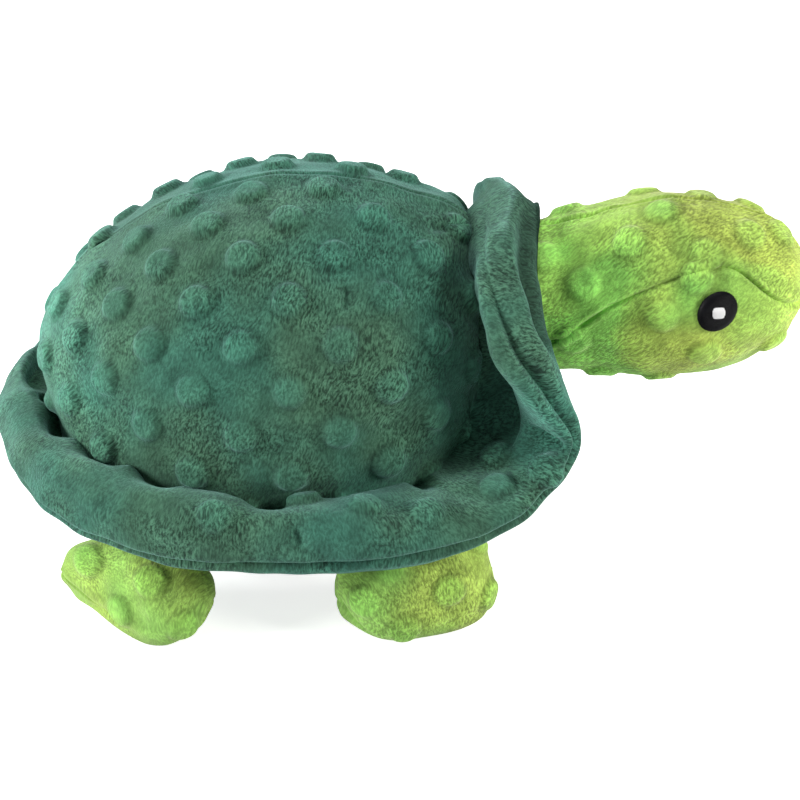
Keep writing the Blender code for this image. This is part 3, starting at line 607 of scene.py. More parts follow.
BRIM_THICKNESS = 0.0155
BRIM_SINK = 0.0040
BRIM_FULLNESS = 2.4
BRIM_POINTS = 56
LOOP_POINTS = 220
BRIM_SECTIONS = 860
BRIM_PLACES = 400
NECK_X = 0.0330
NECK_Z = 0.0765
NECK_RADIUS = 0.0205
NECK_ROOM = 0.0022

BRIM_PLUSH = plush_material("dark_green_brim_plush", (0.035, 0.124, 0.088), (0.047, 0.121, 0.075),
                            GREEN_DOTS, GREEN_SHEEN, nap_turn=0, dot_tint=0.4, contrast=0.6)


def brim_ends(share):
    """The brim's line on the body, its free edge, half its thickness and its hollow, at shares round it."""
    course = brim_course(share)
    join = body_surface(np.radians(course[:, 0]), polar_at(JOIN_Z + HOOD_HEIGHT * course[:, 1]), BRIM_SINK)
    edge = np.stack([BODY_CENTRE_X + BODY_HALF_LENGTH * course[:, 2], BODY_HALF_WIDTH * course[:, 3],
                     BODY_WIDEST_Z * course[:, 4]], -1)
    return join, edge, BRIM_THICKNESS * course[:, 5] / 2, BRIM_THICKNESS * course[:, 6]


def even_shares(count):
    """Shares of the way round the brim that step evenly along its free edge."""
    fine = np.linspace(0, 1, 4001)
    join, edge, _, _ = brim_ends(fine)
    length = lengths_along(edge * 0.7 + join * 0.3)
    return np.interp(np.arange(count) / count, length / length[-1], fine), length[-1]


# Tables along half the brim, from the tail (0) to the top of the hood (200), lengths in millimetres:
# ROOT_SHARES is how thick the root is as a share of the free roll, LIP_SHARES how far the hood's lip is
# formed, SEAM_SHIFTS how far the seam lies over the outermost edge, LIP_RISES how far the lip stands out
# towards the dome, LIP_STARTS how far out it starts, LIP_POWERS how round it is, TOP_REACH how far the
# hood's top is drawn forward, SEAM_DEPTHS how deep the seam is, and HOLLOWS how hollow the hood is in front.
# A pocket is a puckered place beside the dome: its place (right side positive), half its length in steps
# of the places, its depth, and how far out it is, from the body (-1) to the free edge (1).
ROOT_SHARES = ((0, 0.40), (6, 0.75), (14, 1.25), (38, 1.20), (52, 0.75), (66, 0.60), (100, 0.55),
               (118, 0.35), (135, 0.22), (200, 0.25))
LIP_SHARES = ((0, 0.10), (50, 0.05), (110, 0.00), (122, 0.30), (138, 0.75), (180, 0.80), (192, 0.20),
              (200, 0.0))
SEAM_SHIFTS = ((0, -7.0), (40, -6.5), (52, -4.5), (62, -2.2), (112, -1.8), (122, 0.5), (135, 1.6),
               (145, 3.4), (155, 5.4), (165, 7.5), (175, 11.4), (185, 16.0), (200, 17.7))
LIP_RISES = ((112, 0.0), (120, 2.0), (130, 4.0), (140, 6.2), (150, 8.6), (160, 10.6), (170, 10.3),
             (180, 8.0), (190, 5.4), (200, 4.2))
LIP_STARTS = ((112, 0.0), (140, -0.10), (160, -0.25), (180, -0.60), (190, -0.85), (200, -0.95))
LIP_POWERS = ((150, 0.42), (165, 0.46), (178, 0.6), (200, 0.65))
LIP_LEAN = 0.3
SMOOTHING = (-8, -4, 0, 4, 8)
TOP_REACH = ((186, 0.0), (195, 2.2), (200, 2.4))
POCKETS = ((-7, 9.5, 8.0, 0.40), (6.2, 2.2, 5.0, -0.1), (16, 3.8, 6.5, -0.4), (30, 4.6, 7.0, -0.6),
           (42, 3.8, 6.0, -0.7), (62.5, 3.4, 3.5, -0.7), (96, 3.0, 3.5, -0.7), (-20.5, 2.2, 5.0, -0.3),
           (-28, 4.0, 6.5, -0.6), (-39, 4.6, 6.0, -0.7), (-52, 3.5, 4.0, -0.7), (-68, 4.0, 3.5, -0.7),
           (-93, 3.5, 3.5, -0.7))
SEAM_DEPTHS = ((0, 1.4), (112, 1.4), (122, 1.8), (138, 2.2), (158, 2.2), (172, 1.2), (184, 0.5), (200, 0.3))
HOLLOWS = ((142, 0.0), (152, 2.2), (162, 3.2), (186, 3.6), (194, 1.2), (200, 0.4))


def signed_place(share):
    """Places along the brim, from -200 to 200 with the tail at 0, at shares of the way round."""
    return (share * BRIM_PLACES + BRIM_PLACES / 2) % BRIM_PLACES - BRIM_PLACES / 2


def along_brim(share, table):
    """A column of smoothed values from a table of places along half the brim, at shares of the way round."""
    place = share % 1 * BRIM_PLACES
    place = np.minimum(place, BRIM_PLACES - place)
    table = np.array(table, float)
    total = 0
    for shift in SMOOTHING:
        total = total + np.interp(np.abs(place + shift), table[:, 0], table[:, 1])
    return total[:, None] / len(SMOOTHING)


def brim_loops(share, inset):
    """Closed sections of the brim, from the body over its upper face and back under its lower face, and the
    distance of each point from the outermost edge, positive above."""
    join, edge, half_thick, hollow = brim_ends(share)
    edge = edge + along_brim(share, TOP_REACH) / 1000 * (1, 0, 0)
    step = 1 / BRIM_PLACES
    ahead, behind = brim_ends(share + step), brim_ends(share - step)
    out = (edge - join) / 2
    up = np.cross(out, ahead[0] + ahead[1] - behind[0] - behind[1])
    up /= np.linalg.norm(up, axis=1, keepdims=True)
    turn = np.linspace(-math.pi, math.pi, 2 * LOOP_POINTS + 1)
    reach = rounded(np.cos(turn), 2 / BRIM_FULLNESS)
    swell = np.sign(turn) * np.abs(np.sin(turn)) ** (2 / BRIM_FULLNESS)
    root = along_brim(share, ROOT_SHARES)
    lip = along_brim(share, LIP_SHARES)
    inner = (1 - reach) / 2
    fat = 1 + (root - 1) * inner ** (1 + 0.6 * (1 - lip)) + 0.25 * lip * bell(reach - 0.55, 0.4)
    rise = (half_thick[:, None] * fat - inset) * swell
    start = along_brim(share, LIP_STARTS)
    apart = np.clip(np.abs(reach - (start + 1) / 2) / ((1 - start) / 2), 0, 1)
    firm = along_brim(share, LIP_POWERS)
    roll = (1 - apart**2.4) ** firm * (turn > 0) * along_brim(share, LIP_RISES) / 1000
    rise += roll
    place = signed_place(share)
    dip = 0 * rise
    for centre, half, depth, far in POCKETS:
        along = np.exp(-(np.abs((place - centre) / half) ** 3))[:, None]
        dip = np.maximum(dip, depth / 1000 * along * bell(reach - far, 0.45))
    dip *= np.abs(swell) ** 0.3
    spill = np.maximum(dip - 2 * np.abs(rise) + 0.0015 * np.minimum(dip / 0.003, 1), 0)
    rise -= np.where(turn > 0, dip, spill * np.abs(swell) ** 0.3)
    room = (1 - inset / np.linalg.norm(out, axis=1))[:, None]
    down = hollow[:, None] * (1 - (reach * room) ** 2) * (1 - 0.35 * lip * reach)
    middle = ((join + edge) / 2)[:, None, :]
    spine = middle + out[:, None, :] * (reach * room)[..., None] - up[:, None, :] * down[..., None]
    way = out / np.linalg.norm(out, axis=1, keepdims=True)
    loop = spine + up[:, None, :] * rise[..., None] - way[:, None, :] * (LIP_LEAN * roll)[..., None]
    length = lengths_along(loop)
    return loop, spine, length - length[:, LOOP_POINTS:LOOP_POINTS + 1]


def brim_sheet(share, side, inset):
    """One panel of the brim, a row for each share, from its seam to the body: points, middles, outward
    directions and distances from the seam."""
    loop, spine, length = brim_loops(share, inset)
    outward = grid_normals(loop, wraps=True)
    outward *= np.sign(((loop - spine) * outward).sum())
    seam = along_brim(share, SEAM_SHIFTS)[:, 0] / 1000
    sheets = ([], [], [])
    across = []
    for row in range(len(share)):
        end = length[row, -1] if side > 0 else length[row, 0]
        at = seam[row] + (end - seam[row]) * np.linspace(0, 1, BRIM_POINTS)
        for sheet, values in zip(sheets, (loop[row], spine[row], outward[row])):
            sheet.append(np.stack([np.interp(at, length[row], axis) for axis in values.T], -1))
        across.append(np.abs(at - seam[row]))
    return (*(np.array(sheet) for sheet in sheets), np.array(across))


def clear_of_neck(grid):
    """Moves points out of the space that the turning neck needs."""
    out = grid.copy()
    ahead = np.clip((grid[..., 0] - NECK_X) / (2 * NECK_RADIUS), 0, 1.5)
    behind = np.clip((NECK_X - grid[..., 0]) / (NECK_RADIUS + NECK_ROOM), 0, 1)
    need = (NECK_RADIUS + NECK_ROOM) * np.sqrt(1 - behind**2) + NECK_RADIUS * ahead
    away = grid[..., 1:] - (0, NECK_Z)
    far = np.linalg.norm(away, axis=-1)
    tight = (far < need) & (far > 1e-6)
    scale = np.where(tight, need / np.maximum(far, 1e-6), 1)
    out[..., 1:] = away * scale[..., None] + (0, NECK_Z)
    return out


shares, brim_length = even_shares(BRIM_SECTIONS)
# places of the dots: along the brim, and how far from its seam to the body out of 30
BRIM_DOTS = ((42, 26), (54.6, 12), (68.3, 23.5), (78.8, 15), (89.3, 11), (106, 11), (113, 4.5), (116, 19))
BRIM_CREASE = ((-0.0272, -0.0655, 0.0440), (-0.0266, -0.0672, 0.0422), (-0.0254, -0.0686, 0.0398),
               (-0.0248, -0.0690, 0.0363))
HOOD_CREASE = ((0.0325, -0.0405, 0.0570), (0.0366, -0.0437, 0.0566), (0.0389, -0.0462, 0.0561),
               (0.0413, -0.0481, 0.0558), (0.0440, -0.0490, 0.0547))
for side, part in ((1, "upper"), (-1, "lower")):
    grid, spine, normals, across = brim_sheet(shares, side, PILE_ROOM)
    around = np.broadcast_to(np.arange(BRIM_SECTIONS)[:, None] * brim_length / BRIM_SECTIONS, across.shape)
    nap = np.stack([around, across], -1)
    offset = 0.0006 * soft_lumps(grid, 0.034, 31) + 0.0003 * soft_lumps(grid, 0.013, 37)
    lip = along_brim(shares, LIP_SHARES)
    place = signed_place(shares)[:, None]
    depth = along_brim(shares, SEAM_DEPTHS) / 1000 * (1 - 0.75 * bell(place + 168, 18))
    offset += groove(across, depth, 0.0009 + 0.0007 * lip, 0.35 * depth)
    offset += crease(grid, BRIM_CREASE, 0.0018, 0.0014) + crease(grid, HOOD_CREASE, 0.0024, 0.0013)
    # painted light on the roll where the hood meets the sides
    dark = -0.65 * bell(np.abs(place) - 134, 11) * bell(across - 0.004, 0.009)
    if side > 0:
        # painted shade in the pocket beside the tail, and in the hollow between the dome and the hood
        dark += 0.45 * bell(place + 7, 10) * bell(across - 0.020, 0.0085)
        dark += 0.35 * bell(np.abs(place) - 133, 16) * bell(across - 0.029, 0.011)
    if side < 0:
        hollow = along_brim(shares, HOLLOWS) / 1000
        offset += hollow * (0.3 * bell(across - 0.0076, 0.0022) - bell(across - 0.0130, 0.0032))
        # painted shade over the hood's inner face by the neck
        dark += 0.52 * np.clip((across - 0.0085) / 0.004, 0, 1) * np.clip((np.abs(place) - 142) / 12, 0, 1)
    grid = clear_of_neck(grid + normals * offset[..., None])
    piece = cloth_mesh(f"brim_cover_{part}", grid, nap, spine, True, dark)
    places = []
    if side > 0:
        for along, out_of_30 in BRIM_DOTS:
            column = round(out_of_30 / 30 * (BRIM_POINTS - 1))
            for share in (along / BRIM_PLACES, 1 - along / BRIM_PLACES):
                places.append(grid[np.argmin(np.abs(shares - share)), column])
    raise_dots(piece, places, BRIM_PLUSH)
    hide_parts(f"brim_{part}_panel")
    if side < 0:
        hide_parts("brim_wadding")
    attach(piece, "body")


# The belly
# One panel of the same plush under the body, sewn to the dome under the brim and filled from inside.
# It is pressed flat where the turtle rests, and hollowed in front where the neck is sewn in.

BELLY_END = math.acos(-BODY_WIDEST_Z / BELLY_DROP)
BELLY_DOT_HEIGHT = 0.0009
NECK_POCKET = NECK_RADIUS + 0.0014
BELLY_UNDER_JOIN = 0.002
BELLY_STEPS_ROUND = 300
BELLY_STEPS_DOWN = 80
BELLY_STEPS_FLAT = 23
azimuth = np.linspace(-180, 180, BELLY_STEPS_ROUND + 1)[:-1]
start = polar_at(join_height(azimuth) + BELLY_UNDER_JOIN)
polar = start + (BELLY_END - start) * np.linspace(0, 1, BELLY_STEPS_DOWN)[:, None]
grid = body_surface(np.radians(azimuth), polar, PILE_ROOM)
centre = grid[-1].mean(0)
disc = centre + (grid[-1] - centre) * np.linspace(1, 0, BELLY_STEPS_FLAT + 1)[1:, None, None]
grid = np.concatenate([grid, disc], 0)
lift = np.clip((grid[..., 2] - 0.003) / 0.01, 0, 1)
offset = lift * (0.0005 * soft_lumps(grid, 0.030, 51) - 0.0006)
grid = grid + outward_normals(grid, PANEL_MIDDLE) * offset[..., None]
away = np.linalg.norm(grid[..., 1:] - (0, NECK_Z), axis=-1)
cup = NECK_X - np.sqrt(np.maximum(NECK_POCKET**2 - away**2, 0))
front = (grid[..., 0] > 0) & (away < NECK_POCKET)
grid[..., 0] = np.where(front, np.minimum(grid[..., 0], cup), grid[..., 0])
grid = np.swapaxes(grid, 0, 1)
belly = cloth_mesh("underbody_cover", grid, grid[..., :2], PANEL_MIDDLE, wraps=True)
places = []
for row in range(-3, 4):
    for step in range(-3, 4):
        x, y = BODY_CENTRE_X + DOT_STEP * (step + (row % 2) / 2), DOT_ROW_STEP * row
        plan = math.hypot((x - BODY_CENTRE_X) / BODY_HALF_LENGTH, y / BODY_HALF_WIDTH)
        if 0.25 < plan < 0.93:
            places.append((x, y, BODY_WIDEST_Z - BELLY_DROP * math.sqrt(1 - plan**2)))
raise_dots(belly, places, DOME_PLUSH, BELLY_DOT_HEIGHT)
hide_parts("underbody_panel", "body_stuffing")
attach(belly, "body")


# The head and neck
# Four panels of lime plush, two over the crown and two over the cheeks, sewn round a stuffed head
# that narrows to the neck. The seams meet at the nose, and the neck goes into the body under the hood.

HEAD_X = 0.0700
HEAD_Z = 0.0795
HEAD_FRONT = 0.0395
HEAD_HALF_HEIGHT = 0.0255
HEAD_HALF_WIDTH = 0.0240
HEAD_FULLNESS = 2.3
# the seam over the cheek: how far ahead, as a share of the head's front, and its degrees round the head
CHEEK_SEAM = (
    (-1.00, -25), (-0.77, -18), (-0.44, 9), (-0.17, 19), (0.22, 32), (0.42, 36), (0.52, 31), (0.76, 7),
    (1.00, -8),
)
HEAD_DOT_HEIGHT = 0.0014
HEAD_PANEL_STEPS = 76
LIME_SHEEN = (0.95, 0.95, 0.62)
HEAD_PLUSH = plush_material("lime_head_plush", (0.205, 0.490, 0.090), (0.375, 0.490, 0.090),
                            (0.170, 0.490, 0.095), LIME_SHEEN, nap_turn=40, dot_tint=0.25, contrast=0.38)


def head_stations(inset, nose_steps, neck_steps, ball_turn, ball_steps):
    """(x, middle's height, half height, half width) from the nose to behind the neck's pivot."""
    s = np.linspace(0, 1, nose_steps)
    forward = np.cos(math.pi / 2 * s) ** (2 / HEAD_FULLNESS)
    forward[-1] = 0
    girth = np.maximum(1 - forward**HEAD_FULLNESS, 0) ** (1 / HEAD_FULLNESS)
    nose = np.stack([HEAD_X + (HEAD_FRONT - inset) * forward, np.full_like(s, HEAD_Z),
                     (HEAD_HALF_HEIGHT - inset) * girth, (HEAD_HALF_WIDTH - inset) * girth], -1)
    t = np.linspace(0, 1, neck_steps)[1:]
    share = t * t * (3 - 2 * t)
    neck = np.stack([HEAD_X + (NECK_X - HEAD_X) * t, HEAD_Z + (NECK_Z - HEAD_Z) * share,
                     HEAD_HALF_HEIGHT + (NECK_RADIUS - HEAD_HALF_HEIGHT) * share - inset,
                     HEAD_HALF_WIDTH + (NECK_RADIUS - HEAD_HALF_WIDTH) * share - inset], -1)
    a = np.radians(np.linspace(0, ball_turn, ball_steps)[1:])
    radius = NECK_RADIUS - inset
    ball = np.stack([NECK_X - radius * np.sin(a), np.full_like(a, NECK_Z),
                     radius * np.cos(a), radius * np.cos(a)], -1)
    return np.vstack([nose, neck, ball])


def cheek_turn(x):
    """How high round the head the cheek seam lies at places along it, in radians."""
    share = (x - HEAD_X) / HEAD_FRONT
    table = np.array(CHEEK_SEAM)
    total = np.zeros_like(share)
    for shift in np.linspace(-0.09, 0.09, 7):
        total += np.interp(share + shift, table[:, 0], table[:, 1])
    return np.radians(total / 7)


def head_point(station, turn, side):
    """A point round the head at a station, turned up from the side."""
    return np.stack([station[..., 0] + 0 * turn, side * station[..., 3] * np.cos(turn),
                     station[..., 2] * np.sin(turn) + station[..., 1]], -1)


# places of the dots, as x in millimetres and degrees round the head from its side
HEAD_DOTS_RIGHT = ((37, 54), (48, 29), (60, 52), (69, 74), (80, 42), (92, 60), (101, 75), (78, 28), (69, 3),
                   (81, -25), (54, -61), (70, -60), (100, -40), (46, -14))
HEAD_DOTS_LEFT = ((45, 62), (55, 30), (66, 60), (81, 76), (79, 40), (94, 62), (71, 8), (58, -6), (80, -28),
                  (56, -58), (72, -62), (98, -36), (44, -22))
stations = head_stations(PILE_ROOM, nose_steps=90, neck_steps=62, ball_turn=24, ball_steps=18)
for side, side_name in SIDES:
    seam_turn = cheek_turn(stations[:, 0])
    for part in ("crown", "cheek"):
        first, last = (seam_turn, math.pi / 2) if part == "crown" else (-math.pi / 2, seam_turn)
        turn = (first + (last - first) * np.linspace(0, 1, HEAD_PANEL_STEPS)[:, None]).T
        grid = head_point(stations[:, None, :], turn, side)
        middle = np.stack([stations[:, 0] - 0.004, 0 * stations[:, 0], stations[:, 1]], -1)[:, None, :]
        middle[..., 0] = np.minimum(middle[..., 0], HEAD_X + 0.02)
        normals = outward_normals(grid, middle)
        normals[0] = (1, 0, 0)
        radius = np.maximum((stations[:, 2] + stations[:, 3]) / 2, 0.0004)[:, None]
        near_nose = np.clip(radius / 0.010, 0.25, 1)
        seams = ((np.abs(turn - seam_turn[:, None]), 0.0010),
                 (np.abs(np.abs(turn) - math.pi / 2), 0.0010 if part == "crown" else 0.0008))
        offset = sum(groove(away * radius, depth, 0.0006, 0.0004) * near_nose for away, depth in seams)
        offset += 0.0005 * soft_lumps(grid, 0.026, 71) + 0.00025 * soft_lumps(grid, 0.011, 73)
        grid = grid + normals * offset[..., None]
        along = lengths_along(stations[:, [0, 2]])[:, None]
        nap = np.stack([side * turn * 0.022, np.broadcast_to(along, turn.shape)], -1)
        ahead = (grid[..., 0] - 0.074) / 0.030
        # painted light towards the nose and towards the neck, and painted shade over the top of the head
        dark = -0.35 * np.clip(-ahead, 0, 1) - 0.34 * np.clip(ahead, 0, 1)
        dark += 0.26 * np.clip((grid[..., 2] - 0.084) / 0.010, 0, 1) * bell(ahead - 0.1, 1)
        piece = cloth_mesh(f"head_{part}_cover_{side_name}", grid, nap, middle, dark=dark,
                           warm=0.75 * np.clip(ahead, -1, 1))
        places = []
        for x, degrees in (HEAD_DOTS_LEFT if side > 0 else HEAD_DOTS_RIGHT):
            row = np.argmin(np.abs(stations[:, 0] - x / 1000))
            places.append(head_point(stations[row], np.array(math.radians(degrees)), side))
        raise_dots(piece, places, HEAD_PLUSH, HEAD_DOT_HEIGHT)
        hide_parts(f"head_{part}_{side_name}")
        if part == "crown":
            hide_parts("head_stuffing")
        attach(piece, "head")


# The neck's turned-in edge
# A band of the same lime fabric behind the neck, turned in where it is sewn into the body. It is
# part of the ball that turns in the body's pocket.

stations = head_stations(PILE_ROOM, nose_steps=2, neck_steps=2, ball_turn=52, ball_steps=40)[-28:]
turn = np.linspace(-math.pi, math.pi, 121)[:-1]
turn = np.repeat(turn[:, None], len(stations), 1)
grid = head_point(stations, turn, 1)
nap = np.stack([turn * 0.02, grid[..., 0]], -1)
neck_edge = cloth_mesh("neck_edge", grid, nap, (NECK_X, 0, NECK_Z), wraps=True)
neck_edge.data.materials.append(HEAD_PLUSH)
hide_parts("neck_seam_allowance")
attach(neck_edge, "neck")


# The eyes
# Each is a raised oval of black satin stitch, machine-embroidered on the cheek, with a small white
# glint stitched on it.

EYE_AHEAD = 0.0132
EYE_TURN = math.radians(6)
EYE_LONG, EYE_SHORT = 0.0058, 0.0050
EYE_TILT = math.radians(50)
EYE_BASE, EYE_CROWN = -0.0004, 0.0015
GLINT = 0.0016
GLINT_BASE, GLINT_CROWN = 0.0008, 0.0008
OVAL, ROUNDED_SQUARE = 2.0, 4.0
THREAD = 0.00013
STITCH_SPACING = THREAD * 1.7
STITCH_EDGE = 0.985
# height and reach of the rings of the pad under the stitches, as shares of the oval's
PAD_RINGS = ((0.0, 1.0), (0.45, 0.97), (0.8, 0.72), (0.97, 0.35))
PAD_SIDES = 32


def stitch_tree():
    """A domed oval of parallel stitches, each a thread that arches from one side to the other."""
    tree, given, end = new_tree(
        "satin stitch", "GeometryNodeTree",
        (("Start", "Geometry"), ("Long radius", "Float"), ("Short radius", "Float"),
         ("Thread radius", "Float"), ("Spacing", "Float"), ("Crown", "Float"), ("Squareness", "Float"),
         ("Thread", "Material")), (("Stitches", "Geometry"),))
    edge = calc("MULTIPLY", given["Long radius"], STITCH_EDGE)
    low = add_node(tree, "ShaderNodeCombineXYZ", {"X": calc("MULTIPLY", edge, -1.0)})
    high = add_node(tree, "ShaderNodeCombineXYZ", {"X": edge})
    length = calc("MULTIPLY", given["Long radius"], 2.0)
    line = add_node(tree, "GeometryNodeMeshLine", {
        "Count": calc("FLOOR", calc("DIVIDE", length, given["Spacing"])),
        "Start Location": low.outputs[0], "Offset": high.outputs[0]}, mode="END_POINTS")
    arc = add_node(tree, "GeometryNodeCurveArc", {
        "Resolution": 15, "Radius": 1.0, "Start Angle": 0.0, "Sweep Angle": math.pi}, mode="RADIUS")
    upright = add_node(tree, "GeometryNodeTransform", {
        "Geometry": arc.outputs["Curve"], "Rotation": (math.pi / 2, 0, math.pi / 2)})
    place = add_node(tree, "GeometryNodeInputPosition").outputs[0]
    parts = add_node(tree, "ShaderNodeSeparateXYZ", {0: place})
    share = calc("ABSOLUTE", calc("DIVIDE", parts.outputs["X"], given["Long radius"]))
    left = calc("SUBTRACT", 1.0, calc("POWER", share, given["Squareness"]))
    half = calc("POWER", calc("MAXIMUM", left, 0.0), calc("DIVIDE", 1.0, given["Squareness"]))
    scale = add_node(tree, "ShaderNodeCombineXYZ", {
        "X": 1.0, "Y": calc("MULTIPLY", half, given["Short radius"]),
        "Z": calc("MULTIPLY", calc("POWER", half, 0.6), given["Crown"])})
    lay = add_node(tree, "GeometryNodeInstanceOnPoints", {
        "Points": line.outputs["Mesh"], "Instance": upright.outputs["Geometry"], "Scale": scale.outputs[0]})
    whole = add_node(tree, "GeometryNodeRealizeInstances", {"Geometry": lay.outputs["Instances"]})
    thread = add_node(tree, "GeometryNodeCurvePrimitiveCircle", {
        "Resolution": 5, "Radius": given["Thread radius"]})
    tube = add_node(tree, "GeometryNodeCurveToMesh", {
        "Curve": whole.outputs["Geometry"], "Profile Curve": thread.outputs["Curve"], "Fill Caps": True})
    return close_tree(tree, end, tube.outputs["Mesh"], given["Thread"])


SATIN_STITCH = stitch_tree()


def thread_material(name, colour, other, roughness, shine):
    """A stitched finish, a little uneven in colour."""
    made, tree, shader = new_material(name)
    place = add_node(tree, "ShaderNodeTexCoord").outputs["Object"]
    noise = add_node(tree, "ShaderNodeTexNoise", {"Vector": place, "Scale": 900.0}).outputs["Fac"]
    mix = add_node(tree, "ShaderNodeMix", {"Factor": noise, 6: (*colour, 1), 7: (*other, 1)},
                   data_type="RGBA")
    fill_in(shader, {"Base Color": mix.outputs[2], "Roughness": roughness, "Specular IOR Level": shine})
    return made


BLACK_THREAD = thread_material("black_satin_thread", (0.002, 0.002, 0.003), (0.006, 0.006, 0.008),
                               0.45, 0.12)
WHITE_THREAD = thread_material("white_satin_thread", (0.88, 0.88, 0.88), (0.76, 0.76, 0.78), 0.5, 0.3)


def eye_frame(side, tilt):
    """The place and the axes of an eye: its middle, its long way, its short way and outward."""
    share = EYE_AHEAD / HEAD_FRONT
    girth = (1 - share**HEAD_FULLNESS) ** (1 / HEAD_FULLNESS)
    flank = girth ** (HEAD_FULLNESS - 1)
    middle = Vector((HEAD_X + EYE_AHEAD, side * HEAD_HALF_WIDTH * girth * math.cos(EYE_TURN),
                     HEAD_Z + HEAD_HALF_HEIGHT * girth * math.sin(EYE_TURN)))
    outward = Vector((share ** (HEAD_FULLNESS - 1) / HEAD_FRONT,
                      side * flank * math.cos(EYE_TURN) / HEAD_HALF_WIDTH,
                      flank * math.sin(EYE_TURN) / HEAD_HALF_HEIGHT)).normalized()
    forward = Vector((outward.y * side, -outward.x * side, 0)).normalized()
    up = forward.cross(outward) * side
    long_way = forward * math.cos(tilt) + up * math.sin(tilt)
    short_way = up * math.cos(tilt) - forward * math.sin(tilt)
    return middle, long_way, short_way, outward


def stitched(name, side, tilt, base, long_radius, short_radius, crown, squareness, material):
    """An embroidered oval, its stitches over a plain domed pad, standing base off the cheek."""
    middle, long_way, short_way, outward = eye_frame(side, tilt)
    bm = bmesh.new()
    turns = np.linspace(0, 2 * math.pi, PAD_SIDES + 1)[:-1]
    x = rounded(np.cos(turns), 2 / squareness) * long_radius
    y = rounded(np.sin(turns), 2 / squareness) * short_radius
    rings = [[bm.verts.new((x[k] * rim, y[k] * rim, crown * level)) for k in range(PAD_SIDES)]
             for level, rim in PAD_RINGS]
    for low, high in zip(rings, rings[1:]):
        for k in range(PAD_SIDES):
            after = (k + 1) % PAD_SIDES
            bm.faces.new((low[k], low[after], high[after], high[k]))
    bm.faces.new(rings[-1])
    bm.faces.new(rings[0][::-1])
    pad = bpy.data.meshes.new(name + "_pad")
    bm.to_mesh(pad)
    bm.free()
    pad.materials.append(material)
    piece = put_object(name, bpy.data.meshes.new(name))
    modifier = piece.modifiers.new("satin stitch", "NODES")
    modifier.node_group = SATIN_STITCH
    set_inputs(modifier, {"Long radius": long_radius, "Short radius": short_radius, "Thread radius": THREAD,
                          "Spacing": STITCH_SPACING, "Crown": crown, "Squareness": squareness,
                          "Thread": material})
    settled(piece)
    bm = bmesh.new()
    bm.from_mesh(piece.data)
    bm.from_mesh(pad)
    place = Matrix((long_way, short_way, outward)).transposed().to_4x4()
    place.translation = middle + outward * base
    bmesh.ops.transform(bm, matrix=place, verts=bm.verts[:])
    bmesh.ops.recalc_face_normals(bm, faces=bm.faces[:])
    bm.to_mesh(piece.data)
    bm.free()
    bpy.data.meshes.remove(pad)
    piece.data.shade_smooth()
    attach(piece, "head")
    return piece


for side, side_name in SIDES:
    eye = stitched(f"eye_stitches_{side_name}", side, EYE_TILT, EYE_BASE, EYE_LONG, EYE_SHORT, EYE_CROWN,
                   OVAL, BLACK_THREAD)
    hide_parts(f"eye_{side_name}")
    glint = stitched(f"eye_glint_{side_name}", side, 0.0, GLINT_BASE, GLINT, GLINT, GLINT_CROWN,
                     ROUNDED_SQUARE, WHITE_THREAD)
    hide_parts(f"eye_highlight_{side_name}")


# The legs
# Four plump paws of lime plush, each a top that comes down round the toe and a sole under it, sewn
# together round the filling near the ground. Their roots are sewn on under the brim.

LEG_RADIUS = 0.0130
LEG_HALF_WIDTH = 0.0224
LEG_REACH = 0.0130
LEG_FULLNESS = 2.6
LEG_TOE_DROP = 0.0035
LEG_CENTRE_Z = 0.0125
LEG_SEAM_TURN = math.radians(52)
# name, direction, sweep of the toe, the hinge's place, how much the toe narrows behind and in front,
# and how full its ends are
LEGS = (
    ("front", math.radians(73), 0.0, (0.00405, 0.04394), 0.30, 0.10, 3.2),
    ("rear", math.radians(107), math.radians(-34), (-0.06992, 0.0458), 0.90, 0.50, 2.3),
)
LEG_DOT_HEIGHT = 0.0013
LEG_STEPS = 124
TOP_STEPS_ROUND = 96
SOLE_STEPS_ROUND = 48
LEG_PLUSH = plush_material("lime_leg_plush", (0.255, 0.490, 0.105), (0.365, 0.510, 0.100),
                           (0.160, 0.415, 0.068), LIME_SHEEN, nap_turn=0, dot_tint=0.4, contrast=0.38)
# places of the dots: degrees round each leg from its toe over the top, and its width as a percentage
LEG_DOTS = {
    ("front", -1): ((20, -29), (-5, -91), (-16, 41), (64, 48), (15, 93), (95, -80), (95, 0)),
    ("front", 1): ((30, -45), (-5, -88), (-10, 20), (60, 40), (5, 90), (95, -85), (100, 5)),
    ("rear", -1): ((74, 84), (-8, 80), (-10, -72), (50, -8), (125, -40), (120, 40)),
    ("rear", 1): ((60, 76), (0, 88), (-5, -60), (60, -20), (120, -60), (125, 30)),
}


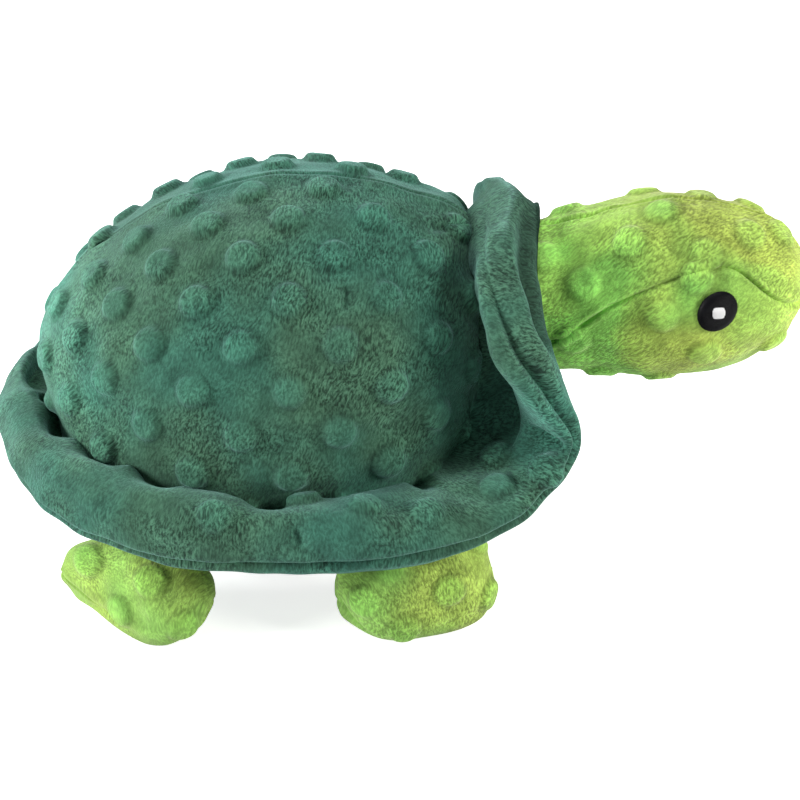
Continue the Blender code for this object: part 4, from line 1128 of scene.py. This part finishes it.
def leg_sheet(upper, sweep, behind, before, full, inset):
    """Points over one panel of a leg in its own frame: x out to the toe, y along its hinge, z up."""
    share = np.sin(math.pi * (np.linspace(0, 1, LEG_STEPS) - 0.5))[:, None]
    girth = np.maximum(1 - np.abs(share) ** full, 0) ** (1 / full)
    first, last = -LEG_SEAM_TURN, math.pi + LEG_SEAM_TURN
    turn = np.linspace(first, last, TOP_STEPS_ROUND)
    if not upper:
        turn = np.linspace(last, first + math.tau, SOLE_STEPS_ROUND)
    toe = np.cos(turn) > 0
    power = np.where(toe, 2 / LEG_FULLNESS, 1)
    out = rounded(np.cos(turn), power) * (np.where(toe, LEG_REACH, LEG_RADIUS) - inset) * girth
    rise = rounded(np.sin(turn), power) * (LEG_RADIUS - inset) * girth
    ahead = np.maximum(out, 0)
    taper = 1 - np.where(share > 0, behind, before) * ahead / LEG_REACH
    y = (LEG_HALF_WIDTH - inset) * share * taper + ahead * math.tan(sweep)
    z = np.maximum(rise - LEG_TOE_DROP * ahead / LEG_REACH, inset - LEG_CENTRE_Z)
    return np.stack([out, y, z], -1), np.degrees(turn), share[:, 0] * 100


for name, turn, sweep, place, behind, before, full in LEGS:
    for side, side_name in SIDES:
        matrix = np.array(Matrix.Diagonal((1, side, 1)) @ Matrix.Rotation(turn, 3, "Z"))
        origin = np.array((place[0], side * place[1], LEG_CENTRE_Z))
        for upper, part in ((True, "top"), (False, "sole")):
            flat, turns, widths = leg_sheet(upper, sweep, behind, before, full, PILE_ROOM)
            grid = flat @ matrix.T + origin
            inside = flat * (0.5, 1, 0) @ matrix.T + origin
            across = lengths_along(grid)
            offset = 0.0006 * soft_lumps(grid, 0.022, 91) + 0.0003 * soft_lumps(grid, 0.009, 93) - 0.0003
            offset += groove(np.minimum(across, across[:, -1:] - across), 0.0003, 0.0006, 0.0001)
            room = np.clip((grid[..., 2] - 0.0008) / 0.004, 0, 1)
            grid = grid + outward_normals(grid, inside) * (offset * room)[..., None]
            nap = np.stack([flat[..., 1], across], -1)
            piece = cloth_mesh(f"{name}_leg_{part}_cover_{side_name}", grid, nap, inside)
            places = []
            if upper:
                for round_leg, wide in LEG_DOTS[name, side]:
                    row = np.argmin(np.abs(widths - wide))
                    places.append(grid[row, np.argmin(np.abs(turns - round_leg))])
            raise_dots(piece, places, LEG_PLUSH, LEG_DOT_HEIGHT)
            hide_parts(f"{name}_{side_name}_leg_{part}")
            if not upper:
                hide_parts(f"{name}_{side_name}_leg_stuffing")
            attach(piece, f"{name}_{side_name}_leg")
